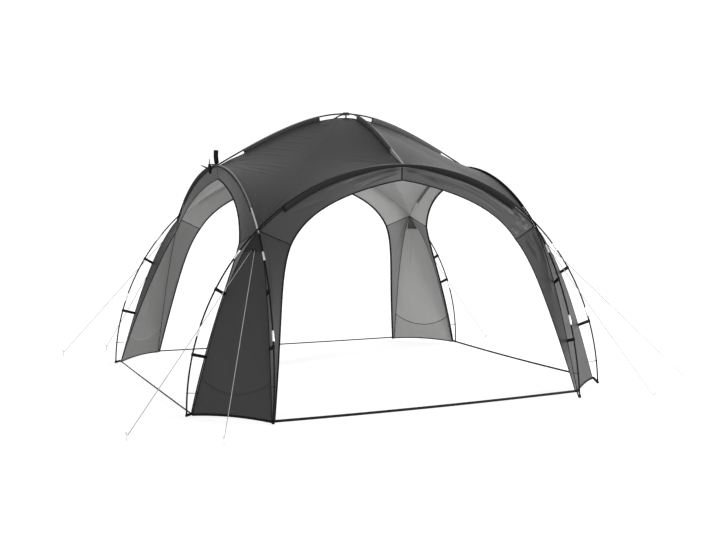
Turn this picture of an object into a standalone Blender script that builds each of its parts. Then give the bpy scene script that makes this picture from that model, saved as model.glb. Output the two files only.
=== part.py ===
"""A square dome event shelter: four crossing side arches, four roof poles that meet
at a crown hub, a polyester canopy hung under them, ground straps, guy lines and pegs.

Units are metres, +Z is up. The origin is on the ground, under the crown.
The front side faces -Y and the left side faces -X. All four sides are alike, so each
piece is drawn once for the front side or the front left corner and turned about Z.
"""

import math

import bmesh
import bpy
from mathutils import Matrix, Vector

# Pole frame. Each side arch is a half ellipse in a plane that leans in towards the crown.
ARCH_HALF_SPAN = 1.80
ARCH_RISE = 1.86
ARCH_PLANE_AT_FOOT = 1.303
ARCH_PLANE_LEAN = 0.109
CROSSING_OFFSET = 0.0052
CROWN_HEIGHT = 2.318
CROWN_FLATNESS = 0.70
POLE_RADIUS = 0.0065
FERRULE_RADIUS = 0.0080
FERRULE_LENGTH = 0.075
UPPER_FERRULE_ANGLE = 42.0
LOWER_FERRULE_ANGLE = 22.5
ARCH_STEP = 5.0
ROOF_POLE_SEGMENTS = 10
TIP_LENGTH = 0.030
TIP_STEP = 0.15
STATION_SPACING = 1.5
CONTACT_GAP = 0.0003
APEX_CLEARANCE = 0.0008
HUB_ENTRY = 0.020

# Crown hub: a turned disc with a stem that reaches down to the peak of the cloth.
HUB_RADIUS = 0.030
HUB_HALF_HEIGHT = 0.013
HUB_STEM_RADIUS = 0.007
HUB_SIDES = 20
HUB_TOP_SHARE = 0.8
HUB_SHOULDER_SHARE = 0.6
HUB_CLEARANCE = 0.0005

# Canopy cloth. It is drawn thicker than cloth is, so that each panel is a solid.
CLOTH = 0.0035
CLOTH_INSIDE_POLE = 0.0145
SEAM_GAP = 0.0004
FIELD_CENTRE = Vector((0.0, 0.0, 0.40))
HANG_AT_CROWN = 0.037
HANG_UNDER_SLEEVE = 0.040
HANG_AT_APEX = 0.028
CROWN_HANG_SHARE = 0.20
APEX_HANG_START = 0.80
APEX_HANG_SHARE = 0.12
ROOF_SEAM_SHARE = 0.00033
VALANCE_SEAM_SHARE = 0.00017
FILM_SHARE = 0.70
FILM_PASSES = 400
ROOF_DIVISIONS = 10

# Openings: an arched doorway in each side, wider at the ground than at its shoulders.
OPENING_TOP = 1.745
OPENING_HALF_WIDTH = 1.281
OPENING_TAPER = 0.185
OPENING_SQUARENESS = 8.0
OPENING_ROUNDNESS = 1.15
OPENING_POINT_SPACING = 1.3
SHOULDER_HEIGHT = 1.256
EDGE_DEPTH_AT_FOOT = 1.762
EDGE_DEPTH_AT_SHOULDER = 1.290
EDGE_DEPTH_AT_TOP = 1.171
EDGE_BOW = 0.030
VALANCE_DIVISIONS = 2 * ROOF_DIVISIONS
VALANCE_ROWS = 2
LEG_DIVISIONS = 10
WING_COLUMNS = 2
CORNER_COLUMNS = 4
CORNER_TOP_SHARE = 0.030
SEAM_FOOT_HALF = 1.296
SEAM_BOW = 0.085
SEAM_BOW_SKEW = 0.65
HEM_LIFT = {"front_left": 0.006, "front_right": 0.045, "back_right": 0.015, "back_left": 0.012}
HEM_ARCH = 0.018
HEM_ARCH_START = 0.6

# Webbing ties from the corner seams to the leg poles, at these heights.
TIE_HEIGHTS = (0.94, 0.50)
TIE_WIDTH = 0.024
TIE_THICKNESS = 0.003
TIE_ROOT = 0.003
TIE_SHIFT = 0.0040
TIE_CLEARANCE = 0.0008

# Reinforcing patch under each pole crossing, with the toggle that the guy lines leave.
PATCH_TOP_SHARE = 0.035
PATCH_BOTTOM_SHARE = 0.115
PATCH_THICKNESS = 0.0025
PATCH_ROWS = 3
PATCH_SIDE_MARGIN = 0.04
TOGGLE_SHARE_ABOVE_HEM = 0.012
TOGGLE_LENGTH = 0.040
TOGGLE_RADIUS = 0.004
LINE_SPACING_SHARE = 0.6

# Guy lines and pegs: where each corner's two pegs stand on the ground.
GUY_RADIUS = 0.0020
PEG_PLACES = {
    "front_left": ((-2.37, -1.90), (-1.80, -2.26)),
    "front_right": ((1.80, -2.09), (2.37, -1.90)),
    "back_right": ((2.20, 1.35), (1.55, 2.26)),
    "back_left": ((-1.73, 2.16), (-2.19, 1.95)),
}
PEG_RADIUS = 0.004
PEG_HEIGHT = 0.055
PEG_HOOK = 0.016
PEG_PROFILE = ((0.0, 0.85), (0.35, 1.0), (0.90, 1.0), (1.20, 0.80))
GUY_HEIGHT_AT_PEG = 0.030

# Ground straps: webbing on edge between the corners, with a plate under each pole.
STRAP_HEIGHT = 0.020
STRAP_THICKNESS = 0.003
PLATE_RADIUS = 0.045
PLATE_SIDES = 16
PLATE_THICKNESS = 0.002
TAB_STRIP_WIDTH = 0.012

# The webbing tab that stands at the left apex.
TAB_HEIGHT = 0.125
TAB_WIDTH = 0.040
TAB_THICKNESS = 0.004
TAB_BACKSET = 0.028
TAB_TILT = 0.012
TAB_CLEARANCE = 0.0004

SIDES = ("front", "right", "back", "left")
CORNERS = ("front_left", "front_right", "back_right", "back_left")


def clear_scene():
    """Removes what is in the file, so that only the shelter is left."""
    for item in list(bpy.data.objects):
        bpy.data.objects.remove(item, do_unlink=True)


def make_material(name, colour, roughness, metallic):
    """A Principled material with one colour, roughness and metallic value."""
    material = bpy.data.materials.new(name)
    material.use_nodes = True
    shader = material.node_tree.nodes["Principled BSDF"]
    shader.inputs["Base Color"].default_value = (*colour, 1.0)
    shader.inputs["Roughness"].default_value = roughness
    shader.inputs["Metallic"].default_value = metallic
    material.diffuse_color = (*colour, 1.0)
    return material


def canopy_cloth():
    return make_material("canopy_cloth", (0.075, 0.077, 0.080), 0.75, 0.0)


def pole_coating():
    return make_material("pole_coating", (0.020, 0.020, 0.021), 0.40, 0.0)


def black_webbing():
    return make_material("black_webbing", (0.012, 0.012, 0.013), 0.85, 0.0)


def hub_plastic():
    return make_material("hub_plastic", (0.030, 0.030, 0.032), 0.50, 0.0)


def guy_rope():
    return make_material("guy_rope", (0.42, 0.42, 0.42), 0.80, 0.0)


def peg_steel():
    return make_material("peg_steel", (0.55, 0.55, 0.56), 0.30, 1.0)


def quarter_turn(count):
    return Matrix.Rotation(count * math.pi / 2.0, 3, "Z")


def swap(point):
    """Mirrors a point of the front left corner in the corner's own diagonal."""
    return Vector((point.y, point.x, point.z))


def arch_point(angle, half_span, rise, plane_at_foot):
    """A point of the front arch. The angle is 0 at the right foot and 180 at the left."""
    sine = math.sin(math.radians(angle))
    return Vector((
        half_span * math.cos(math.radians(angle)),
        -(plane_at_foot - ARCH_PLANE_LEAN * sine),
        rise * sine,
    ))


def pole_arch_point(angle, offset):
    """The pole's axis. The offset sets crossing poles beside each other."""
    half_span = ARCH_HALF_SPAN + offset
    return arch_point(angle, half_span, ARCH_RISE + offset, ARCH_PLANE_AT_FOOT + offset)


def arch_angle(height, offset):
    """The angle at which the right leg of an arch reaches a height."""
    return math.degrees(math.asin(height / (ARCH_RISE + offset)))


def cloth_arch_point(angle):
    """The canopy's seam under the arch."""
    return pole_arch_point(angle, -CLOTH_INSIDE_POLE)


def crossing_angle():
    """The angle at which the cloth lines of two neighbouring arches meet."""
    half_span = ARCH_HALF_SPAN - CLOTH_INSIDE_POLE
    reach = math.hypot(half_span, ARCH_PLANE_LEAN)
    tilt = math.atan2(ARCH_PLANE_LEAN, half_span)
    return math.degrees(tilt + math.acos((ARCH_PLANE_AT_FOOT - CLOTH_INSIDE_POLE) / reach))


def roof_pole_height(reach):
    """The roof pole's height at a distance from the crown, a hyperbola down to the apex."""
    apex_reach = ARCH_PLANE_AT_FOOT - ARCH_PLANE_LEAN
    fall = math.hypot(CROWN_FLATNESS, reach) - CROWN_FLATNESS
    full_fall = math.hypot(CROWN_FLATNESS, apex_reach) - CROWN_FLATNESS
    return CROWN_HEIGHT - (CROWN_HEIGHT - ARCH_RISE) * fall / full_fall


def smooth_step(value):
    value = min(max(value, 0.0), 1.0)
    return value * value * (3.0 - 2.0 * value)


def roof_seam_point(share):
    """The canopy's seam under the front roof pole, from the crown (0) to the apex (1)."""
    apex = cloth_arch_point(90.0)
    reach = -apex.y * share
    hang = HANG_UNDER_SLEEVE
    hang += (HANG_AT_CROWN - HANG_UNDER_SLEEVE) * (1.0 - smooth_step(share / CROWN_HANG_SHARE))
    past_sleeve = share - APEX_HANG_START
    hang += (HANG_AT_APEX - HANG_UNDER_SLEEVE) * smooth_step(past_sleeve / APEX_HANG_SHARE)
    height = roof_pole_height(reach) - hang
    step_at_apex = apex.z - roof_pole_height(-apex.y) + HANG_AT_APEX
    height += step_at_apex * smooth_step(past_sleeve / (1.0 - APEX_HANG_START))
    return Vector((0.0, -reach, height))


def opening_half_width(height):
    """Half the doorway's width: a taper times a squared off round top."""
    taper = OPENING_HALF_WIDTH - OPENING_TAPER * height
    ratio = min(height / OPENING_TOP, 1.0)
    return taper * (1.0 - ratio ** OPENING_SQUARENESS) ** (1.0 / OPENING_ROUNDNESS)


def opening_depth(height):
    """How far the doorway's edge stands in front of the crown, at a height."""
    if height < SHOULDER_HEIGHT:
        share = height / SHOULDER_HEIGHT
        straight = EDGE_DEPTH_AT_FOOT + (EDGE_DEPTH_AT_SHOULDER - EDGE_DEPTH_AT_FOOT) * share
        return straight + EDGE_BOW * 4.0 * share * (1.0 - share)
    share = (height - SHOULDER_HEIGHT) / (OPENING_TOP - SHOULDER_HEIGHT)
    return EDGE_DEPTH_AT_SHOULDER + (EDGE_DEPTH_AT_TOP - EDGE_DEPTH_AT_SHOULDER) * share


def opening_top_point(share):
    """The doorway's upper edge, from the left shoulder (-1) over the apex to the right (1)."""
    fall = (OPENING_TOP - SHOULDER_HEIGHT) * abs(share) ** OPENING_POINT_SPACING
    height = OPENING_TOP - fall
    across = math.copysign(opening_half_width(height), share)
    return Vector((across, -opening_depth(height), height))


def opening_leg_point(share, lift):
    """The doorway's left edge, from the shoulder (0) to the foot (1)."""
    height = SHOULDER_HEIGHT * (1.0 - share)
    return Vector((-opening_half_width(height), -opening_depth(height), height + lift * share))


def corner_seam_point(share, lift):
    """The seam from the crossing (0) to the foot of the front side (1), bowed to the pole."""
    top = cloth_arch_point(180.0 - crossing_angle())
    foot = Vector((-SEAM_FOOT_HALF, -EDGE_DEPTH_AT_FOOT, lift))
    bow = SEAM_BOW * math.sin(math.pi * share ** SEAM_BOW_SKEW)
    return top.lerp(foot, share) + Vector((0.0, -bow, 0.0))


def between(first, second, share):
    """A point of the straight line between two seams, kept a seam gap away from both."""
    span = (second - first).length
    inset = min(SEAM_GAP / span, 0.25)
    return first.lerp(second, inset + (1.0 - 2.0 * inset) * share)


def inward(point):
    """The direction in which every cloth panel gets its thickness."""
    return (FIELD_CENTRE - point).normalized()


def grid_solid(name, columns, rows, place, material, thickness=CLOTH, lift=0.0):
    """Bends a flat grid with place(u, v), then extrudes it towards the field's centre."""
    mesh = bmesh.new()
    bmesh.ops.create_grid(mesh, x_segments=columns, y_segments=rows, size=0.5)
    for vertex in mesh.verts:
        point = place(vertex.co.x + 0.5, vertex.co.y + 0.5)
        vertex.co = point - inward(point) * lift
    walls = bmesh.ops.extrude_face_region(mesh, geom=mesh.faces[:])
    for item in walls["geom"]:
        if isinstance(item, bmesh.types.BMVert):
            item.co += inward(item.co) * thickness
    bmesh.ops.recalc_face_normals(mesh, faces=mesh.faces[:])
    return add_mesh_object(name, mesh, material)


def add_mesh_object(name, mesh, material):
    """Puts a bmesh into a new object of the shelter's collection."""
    data = bpy.data.meshes.new(name)
    mesh.to_mesh(data)
    mesh.free()
    data.materials.append(material)
    item = bpy.data.objects.new(name, data)
    bpy.data.collections["event_shelter"].objects.link(item)
    return item


def make_tube(name, points, radius, material, sizes=None):
    """A POLY curve with a round bevel and filled caps."""
    curve = bpy.data.curves.new(name, "CURVE")
    curve.dimensions = "3D"
    curve.bevel_depth = radius
    curve.bevel_resolution = 2
    curve.use_fill_caps = True
    spline = curve.splines.new("POLY")
    spline.points.add(len(points) - 1)
    for index, point in enumerate(points):
        spline.points[index].co = (*point, 1.0)
        spline.points[index].radius = sizes[index] if sizes else 1.0
    curve.materials.append(material)
    item = bpy.data.objects.new(name, curve)
    bpy.data.collections["event_shelter"].objects.link(item)
    return item


def curve_to_mesh(item):
    """Changes a curve object into a welded mesh object of the same name."""
    shape = item.evaluated_get(bpy.context.evaluated_depsgraph_get())
    data = bpy.data.meshes.new_from_object(shape)
    name = item.name
    place = item.matrix_world.copy()
    bpy.data.objects.remove(item, do_unlink=True)
    data.transform(place)
    mesh = bmesh.new()
    mesh.from_mesh(data)
    bmesh.ops.remove_doubles(mesh, verts=mesh.verts[:], dist=0.00005)
    bmesh.ops.recalc_face_normals(mesh, faces=mesh.faces[:])
    return add_mesh_object(name, mesh, data.materials[0])


def make_bar(name, start, end, section, across, material):
    """A flat bar between two points. Its section is (width, thickness), width along across."""
    mesh = bmesh.new()
    bmesh.ops.create_cube(mesh, size=1.0)
    along = (end - start).normalized()
    side = (across - along * across.dot(along)).normalized()
    up = along.cross(side)
    frame = Matrix((along, side, up)).transposed()
    size = Matrix.Diagonal(Vector(((end - start).length, *section)))
    bmesh.ops.transform(mesh, matrix=(frame @ size).to_4x4(), verts=mesh.verts[:])
    bmesh.ops.translate(mesh, vec=(start + end) / 2.0, verts=mesh.verts[:])
    return add_mesh_object(name, mesh, material)


def make_plate(name, centre, material):
    """A round foot plate about its centre."""
    mesh = bmesh.new()
    bmesh.ops.create_cone(
        mesh, cap_ends=True, segments=PLATE_SIDES, radius1=PLATE_RADIUS, radius2=PLATE_RADIUS,
        depth=PLATE_THICKNESS, matrix=Matrix.Translation(centre),
    )
    return add_mesh_object(name, mesh, material)


def join_solids(body, others):
    """Unites solids with EXACT Booleans and keeps the first one's name."""
    name = body.name
    for index, other in enumerate(others):
        modifier = body.modifiers.new(f"join_{index}", "BOOLEAN")
        modifier.operation = "UNION"
        modifier.object = other
    shape = body.evaluated_get(bpy.context.evaluated_depsgraph_get())
    data = bpy.data.meshes.new_from_object(shape)
    material = body.data.materials[0]
    for item in [body, *others]:
        bpy.data.objects.remove(item, do_unlink=True)
    mesh = bmesh.new()
    mesh.from_mesh(data)
    bmesh.ops.triangulate(mesh, faces=mesh.faces[:])
    joined = add_mesh_object(name, mesh, material)
    joined.data.materials.clear()
    joined.data.materials.append(material)
    return joined


def turn(item, count):
    """Turns a mesh object's shape about Z by quarter turns."""
    item.data.transform(quarter_turn(count).to_4x4())
    item.data.update()


def arch_stations(offset):
    """Angles along an arch with the pole's radius at each, the ferrules among them."""
    step = math.degrees(FERRULE_LENGTH / ARCH_HALF_SPAN)
    wide = FERRULE_RADIUS / POLE_RADIUS
    blocks = []
    for start in (LOWER_FERRULE_ANGLE, UPPER_FERRULE_ANGLE - step):
        blocks.append((start, start + step))
        blocks.append((180.0 - start - step, 180.0 - start))
    ties = [arch_angle(height, offset) for height in TIE_HEIGHTS]
    ties += [180.0 - angle for angle in ties]
    stations = [(angle, 1.0) for angle in ties]
    blocks_and_ties = blocks + [(angle, angle) for angle in ties]
    for count in range(1, int(180.0 / ARCH_STEP)):
        angle = count * ARCH_STEP
        near = any(
            low - STATION_SPACING < angle < high + STATION_SPACING
            for low, high in blocks_and_ties
        )
        if not near:
            stations.append((angle, 1.0))
    for low, high in blocks:
        stations += [(low - TIP_STEP, 1.0), (low, wide), (high, wide), (high + TIP_STEP, 1.0)]
    return sorted(stations)


def build_arch_poles(material):
    """Four bent poles from ground to ground. Front and back pass outside the other two."""
    for count, side in enumerate(SIDES):
        offset = CROSSING_OFFSET if count % 2 == 0 else -CROSSING_OFFSET
        stations = arch_stations(offset)
        path = [pole_arch_point(angle, offset) for angle, size in stations]
        sizes = [size for angle, size in stations]
        for angle, at_start in ((0.0, True), (180.0, False)):
            foot = pole_arch_point(angle, offset)
            on_plate = foot + Vector((0.0, 0.0, PLATE_THICKNESS + CONTACT_GAP))
            tip = [on_plate, foot + Vector((0.0, 0.0, TIP_LENGTH))]
            path = tip + path if at_start else path + tip[::-1]
            sizes = [1.0, 1.0] + sizes if at_start else sizes + [1.0, 1.0]
        path = [quarter_turn(count) @ point for point in path]
        make_tube(f"arch_pole_{side}", path, POLE_RADIUS, material, sizes)


def build_roof_poles(material):
    """Four roof poles, each from the crown hub down to the middle of a side arch."""
    start = HUB_RADIUS + CONTACT_GAP
    for count, side in enumerate(SIDES):
        offset = CROSSING_OFFSET if count % 2 == 0 else -CROSSING_OFFSET
        apex = pole_arch_point(90.0, offset)
        end = -apex.y - POLE_RADIUS - CONTACT_GAP - APEX_CLEARANCE
        path = []
        for index in range(ROOF_POLE_SEGMENTS + 1):
            share = index / ROOF_POLE_SEGMENTS
            reach = start + (end - start) * share
            correction = (apex.z - roof_pole_height(-apex.y)) * share
            path.append(Vector((0.0, -reach, roof_pole_height(reach) + correction)))
        inner = path[0].copy()
        path[0].z = CROWN_HEIGHT
        path.insert(1, Vector((0.0, inner.y - HUB_ENTRY, CROWN_HEIGHT)))
        path = [quarter_turn(count) @ point for point in path]
        make_tube(f"roof_pole_{side}", path, POLE_RADIUS, material)


def build_crown_hub(material):
    """The disc that holds the four roof poles, and its stem to the peak of the cloth."""
    peak = roof_seam_point(0.0).z + CONTACT_GAP + HUB_CLEARANCE
    profile = (
        (0.0, CROWN_HEIGHT + HUB_HALF_HEIGHT),
        (HUB_RADIUS * HUB_TOP_SHARE, CROWN_HEIGHT + HUB_HALF_HEIGHT),
        (HUB_RADIUS, CROWN_HEIGHT + HUB_HALF_HEIGHT * HUB_SHOULDER_SHARE),
        (HUB_RADIUS, CROWN_HEIGHT - HUB_HALF_HEIGHT),
        (HUB_STEM_RADIUS, CROWN_HEIGHT - HUB_HALF_HEIGHT),
        (HUB_STEM_RADIUS, peak),
        (0.0, peak),
    )
    mesh = bmesh.new()
    corners = [mesh.verts.new((radius, 0.0, height)) for radius, height in profile]
    for first, second in zip(corners[:-1], corners[1:]):
        mesh.edges.new((first, second))
    hub = add_mesh_object("crown_hub", mesh, material)
    screw = hub.modifiers.new("turned", "SCREW")
    screw.steps = HUB_SIDES
    screw.render_steps = HUB_SIDES
    screw.use_merge_vertices = True
    screw.merge_threshold = 0.00005
    return hub


def film(boundary, divisions):
    """A cloth grid between four seams: part bridged straight, part drawn as a soap film."""
    count = divisions + 1
    bridge = [[None] * count for _ in range(count)]
    for row in range(count):
        for column in range(count):
            bridge[row][column] = boundary(column / divisions, row / divisions)
    surface = [[point.copy() for point in line] for line in bridge]
    for _ in range(FILM_PASSES):
        for row in range(1, divisions):
            for column in range(1, divisions):
                mean = surface[row - 1][column] + surface[row + 1][column]
                mean += surface[row][column - 1] + surface[row][column + 1]
                surface[row][column] = mean / 4.0
    return [
        [bridge[row][column].lerp(surface[row][column], FILM_SHARE) for column in range(count)]
        for row in range(count)
    ]


def roof_bridge(u, v):
    """Coons patch of the front left roof panel between two roof seams and two arches."""
    crossing = crossing_angle()
    front_seam = roof_seam_point(u)
    left_seam = swap(roof_seam_point(v))
    front_arch = cloth_arch_point(90.0 + (90.0 - crossing) * v)
    left_arch = swap(cloth_arch_point(90.0 + (90.0 - crossing) * u))
    crown = roof_seam_point(0.0)
    front_apex = cloth_arch_point(90.0)
    left_apex = swap(front_apex)
    corner = cloth_arch_point(180.0 - crossing)
    ruled = front_seam * (1.0 - v) + left_arch * v + left_seam * (1.0 - u) + front_arch * u
    corners = crown * (1.0 - u) * (1.0 - v) + front_apex * u * (1.0 - v)
    corners += left_apex * (1.0 - u) * v + corner * u * v
    return ruled - corners


def build_roof_panels(material):
    """Four quarters of the roof, sewn to each other under the roof poles."""
    grid = film(roof_bridge, ROOF_DIVISIONS)

    def place(u, v):
        column = (ROOF_SEAM_SHARE + (1.0 - 2.0 * ROOF_SEAM_SHARE) * u) * ROOF_DIVISIONS
        row = (ROOF_SEAM_SHARE + (1.0 - 2.0 * ROOF_SEAM_SHARE) * v) * ROOF_DIVISIONS
        left = min(int(column), ROOF_DIVISIONS - 1)
        low = min(int(row), ROOF_DIVISIONS - 1)
        bottom = grid[low][left].lerp(grid[low][left + 1], column - left)
        top = grid[low + 1][left].lerp(grid[low + 1][left + 1], column - left)
        return bottom.lerp(top, row - low)

    for count, corner in enumerate(CORNERS):
        panel = grid_solid(f"roof_panel_{corner}", ROOF_DIVISIONS, ROOF_DIVISIONS, place, material)
        turn(panel, count)


def build_valances(material):
    """The band of cloth between each arch and the top of its doorway."""
    crossing = crossing_angle()

    def place(u, v):
        share = (2.0 * u - 1.0) * (1.0 - 2.0 * VALANCE_SEAM_SHARE)
        arch = cloth_arch_point(90.0 - (90.0 - crossing) * share)
        return between(arch, opening_top_point(share), v)

    for count, side in enumerate(SIDES):
        panel = grid_solid(f"valance_{side}", VALANCE_DIVISIONS, VALANCE_ROWS, place, material)
        turn(panel, count)


def leg_share(row):
    """Shares of the corner seam at which all leg panels have a row of points."""
    if row == 0:
        return SEAM_GAP
    if row == 1:
        return CORNER_TOP_SHARE
    return (row - 1) / LEG_DIVISIONS


def build_wings(material):
    """The narrow panels between each corner seam and the doorways beside it."""
    for count, corner in enumerate(CORNERS):
        lift = HEM_LIFT[corner]

        def front_wing(u, v):
            share = leg_share(round(v * (LEG_DIVISIONS + 1)))
            return between(corner_seam_point(share, lift), opening_leg_point(share, lift), u)

        def side_wing(u, v):
            return swap(front_wing(u, v))

        facing = SIDES[count]
        beside = SIDES[count - 1]
        for name, place in ((facing, front_wing), (beside, side_wing)):
            node = f"wing_{corner}_{name}"
            wing = grid_solid(node, WING_COLUMNS, LEG_DIVISIONS + 1, place, material)
            turn(wing, count)


def corner_surface(across, share, lift):
    """The corner panel between its two seams, its hem arched up in the middle."""
    seam = corner_seam_point(share, lift)
    point = between(swap(seam), seam, across)
    arch = 4.0 * across * (1.0 - across)
    near_hem = max(share - HEM_ARCH_START, 0.0) / (1.0 - HEM_ARCH_START)
    return point + Vector((0.0, 0.0, HEM_ARCH * arch * near_hem))


def tie_root(pole, tangent, lift):
    """The point of the corner seam that lies square across from a point of the pole."""
    low, high = 0.0, 1.0
    for _ in range(40):
        middle = (low + high) / 2.0
        if (corner_seam_point(middle, lift) - pole).dot(tangent) > 0.0:
            low = middle
        else:
            high = middle
    return corner_seam_point(low, lift)


def build_corner_ties(corner, lift, material):
    """Webbing ties from both seams of a corner out to the two leg poles beside it."""
    ties = []
    for index, height in enumerate(TIE_HEIGHTS):
        for mirrored in (False, True):
            outer = (CORNERS.index(corner) + (0 if mirrored else 1)) % 2 == 0
            offset = CROSSING_OFFSET if outer else -CROSSING_OFFSET
            angle = 180.0 - arch_angle(height, offset)
            pole = swap(pole_arch_point(angle, offset))
            above = swap(pole_arch_point(angle - 1.0, offset))
            tangent = (above - pole).normalized()
            seam = tie_root(pole, tangent, lift)
            root = seam + inward(seam) * CLOTH * 0.5
            along = pole - root
            along = (along - tangent * along.dot(tangent)).normalized()
            end = pole - along * (POLE_RADIUS + TIE_CLEARANCE)
            start = end - along * ((pole - root).length - POLE_RADIUS + TIE_ROOT)
            towards_panel = (swap(seam) - seam).normalized() * TIE_SHIFT
            start += towards_panel
            end += towards_panel
            if mirrored:
                start = swap(start)
                end = swap(end)
                tangent = swap(tangent)
            name = f"tie_{corner}_{index}_{mirrored}"
            size = (TIE_WIDTH, TIE_THICKNESS)
            ties.append(make_bar(name, start, end, size, tangent, material))
    return ties


def build_corner_panels(material):
    """The panel between the two poles of each corner, with its pole ties sewn on."""
    for count, corner in enumerate(CORNERS):
        lift = HEM_LIFT[corner]

        def place(u, v):
            return corner_surface(u, leg_share(1 + round(v * LEG_DIVISIONS)), lift)

        node = f"corner_panel_{corner}"
        panel = grid_solid(node, CORNER_COLUMNS, LEG_DIVISIONS, place, material)
        panel = join_solids(panel, build_corner_ties(corner, lift, material))
        turn(panel, count)


def build_corner_patches(material):
    """The black reinforcement on the outside of each corner, under the crossing."""
    for count, corner in enumerate(CORNERS):
        lift = HEM_LIFT[corner]

        def place(u, v):
            share = PATCH_TOP_SHARE + (PATCH_BOTTOM_SHARE - PATCH_TOP_SHARE) * v
            across = PATCH_SIDE_MARGIN + (1.0 - 2.0 * PATCH_SIDE_MARGIN) * u
            return corner_surface(across, share, lift)

        patch = grid_solid(
            f"corner_patch_{corner}", 2, PATCH_ROWS, place, material,
            thickness=PATCH_THICKNESS, lift=PATCH_THICKNESS + CONTACT_GAP,
        )
        turn(patch, count)


def build_guy_lines(material):
    """Each corner's toggle with its two taut lines down to the pegs, one solid."""
    for count, corner in enumerate(CORNERS):
        lift = HEM_LIFT[corner]
        seat = corner_surface(0.5, PATCH_BOTTOM_SHARE - TOGGLE_SHARE_ABOVE_HEM, lift)
        clear = PATCH_THICKNESS + CONTACT_GAP + TOGGLE_RADIUS
        centre = quarter_turn(count) @ (seat - inward(seat) * clear)
        along = quarter_turn(count) @ Vector((1.0, -1.0, 0.0)).normalized()
        half = along * (TOGGLE_LENGTH / 2.0)
        toggle = curve_to_mesh(make_tube(
            f"guy_lines_{corner}", [centre - half, centre + half], TOGGLE_RADIUS, material,
        ))
        lines = []
        for index, place in enumerate(PEG_PLACES[corner]):
            start = centre + half * LINE_SPACING_SHARE * (2 * index - 1)
            peg = Vector((*place, GUY_HEIGHT_AT_PEG))
            slope = (start - peg).normalized()
            clear_of_peg = PEG_RADIUS + CONTACT_GAP + GUY_RADIUS * slope.z
            back = slope * clear_of_peg / slope.xy.length
            line = make_tube(f"line_{corner}_{index}", [start, peg + back], GUY_RADIUS, material)
            lines.append(curve_to_mesh(line))
        join_solids(toggle, lines)


def build_pegs(material):
    """Steel pegs: the stem above ground and the hook that faces away from the shelter."""
    for corner in CORNERS:
        for index, place in enumerate(PEG_PLACES[corner]):
            away = Vector((*place, 0.0)).normalized()
            foot = Vector((*place, 0.0))
            path = [foot]
            for reach, height in PEG_PROFILE:
                rise = Vector((0.0, 0.0, PEG_HEIGHT * height))
                path.append(foot + away * PEG_HOOK * reach + rise)
            make_tube(f"peg_{corner}_{index + 1}", path, PEG_RADIUS, material)


def build_ground_straps(material):
    """Webbing from corner to corner on each side, with a plate under each pole foot."""
    up = Vector((0.0, 0.0, 1.0))
    sideways = Vector((1.0, 0.0, 0.0))
    line = -(EDGE_DEPTH_AT_FOOT + CONTACT_GAP + STRAP_THICKNESS / 2.0)
    for count, side in enumerate(SIDES):
        offset = CROSSING_OFFSET if (count + 1) % 2 == 0 else -CROSSING_OFFSET
        ends = []
        pieces = []
        for corner, sign in ((CORNERS[count], -1.0), (CORNERS[(count + 1) % 4], 1.0)):
            height = HEM_LIFT[corner] + STRAP_HEIGHT / 2.0
            across = sign * (ARCH_PLANE_AT_FOOT + offset)
            pole = Vector((across, -(ARCH_HALF_SPAN + offset), PLATE_THICKNESS / 2.0))
            ends.append(Vector((across, line, height)))
            pieces.append(make_plate(f"plate_{side}_{corner}", pole, material))
            low = Vector((across - sign * TAB_STRIP_WIDTH / 2.0, line, PLATE_THICKNESS / 2.0))
            high = Vector((low.x, line, height))
            size = (TAB_STRIP_WIDTH, STRAP_THICKNESS)
            pieces.append(make_bar(f"tab_{side}_{corner}", low, high, size, sideways, material))
        size = (STRAP_HEIGHT, STRAP_THICKNESS)
        strap = make_bar(f"ground_strap_{side}", ends[0], ends[1], size, up, material)
        strap = join_solids(strap, pieces)
        turn(strap, count)


def build_apex_tab(material):
    """The loose webbing tab that stands up beside the left apex."""
    apex = swap(pole_arch_point(90.0, -CROSSING_OFFSET))
    rise = POLE_RADIUS + CONTACT_GAP + TAB_CLEARANCE
    start = apex + Vector((0.0, -TAB_BACKSET, rise))
    end = start + Vector((-TAB_TILT, -TAB_TILT, TAB_HEIGHT))
    size = (TAB_WIDTH, TAB_THICKNESS)
    make_bar("apex_tab_left", start, end, size, Vector((0.0, 1.0, 0.0)), material)


def build_shelter():
    clear_scene()
    parts = bpy.data.collections.new("event_shelter")
    bpy.context.scene.collection.children.link(parts)
    cloth = canopy_cloth()
    coating = pole_coating()
    webbing = black_webbing()
    build_arch_poles(coating)
    build_roof_poles(coating)
    build_crown_hub(hub_plastic())
    build_roof_panels(cloth)
    build_valances(cloth)
    build_wings(cloth)
    build_corner_panels(cloth)
    build_corner_patches(webbing)
    build_guy_lines(guy_rope())
    build_pegs(peg_steel())
    build_ground_straps(webbing)
    build_apex_tab(webbing)


build_shelter()
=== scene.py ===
"""The looks of a square dome event shelter: sewn cloth, sleeves, poles, webbing and lines.

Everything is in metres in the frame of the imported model: the origin is on the ground
under the crown, -Y is the front side and -X the left side.
"""

import math

import bpy
import numpy as np
from mathutils import Matrix, Vector


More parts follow.
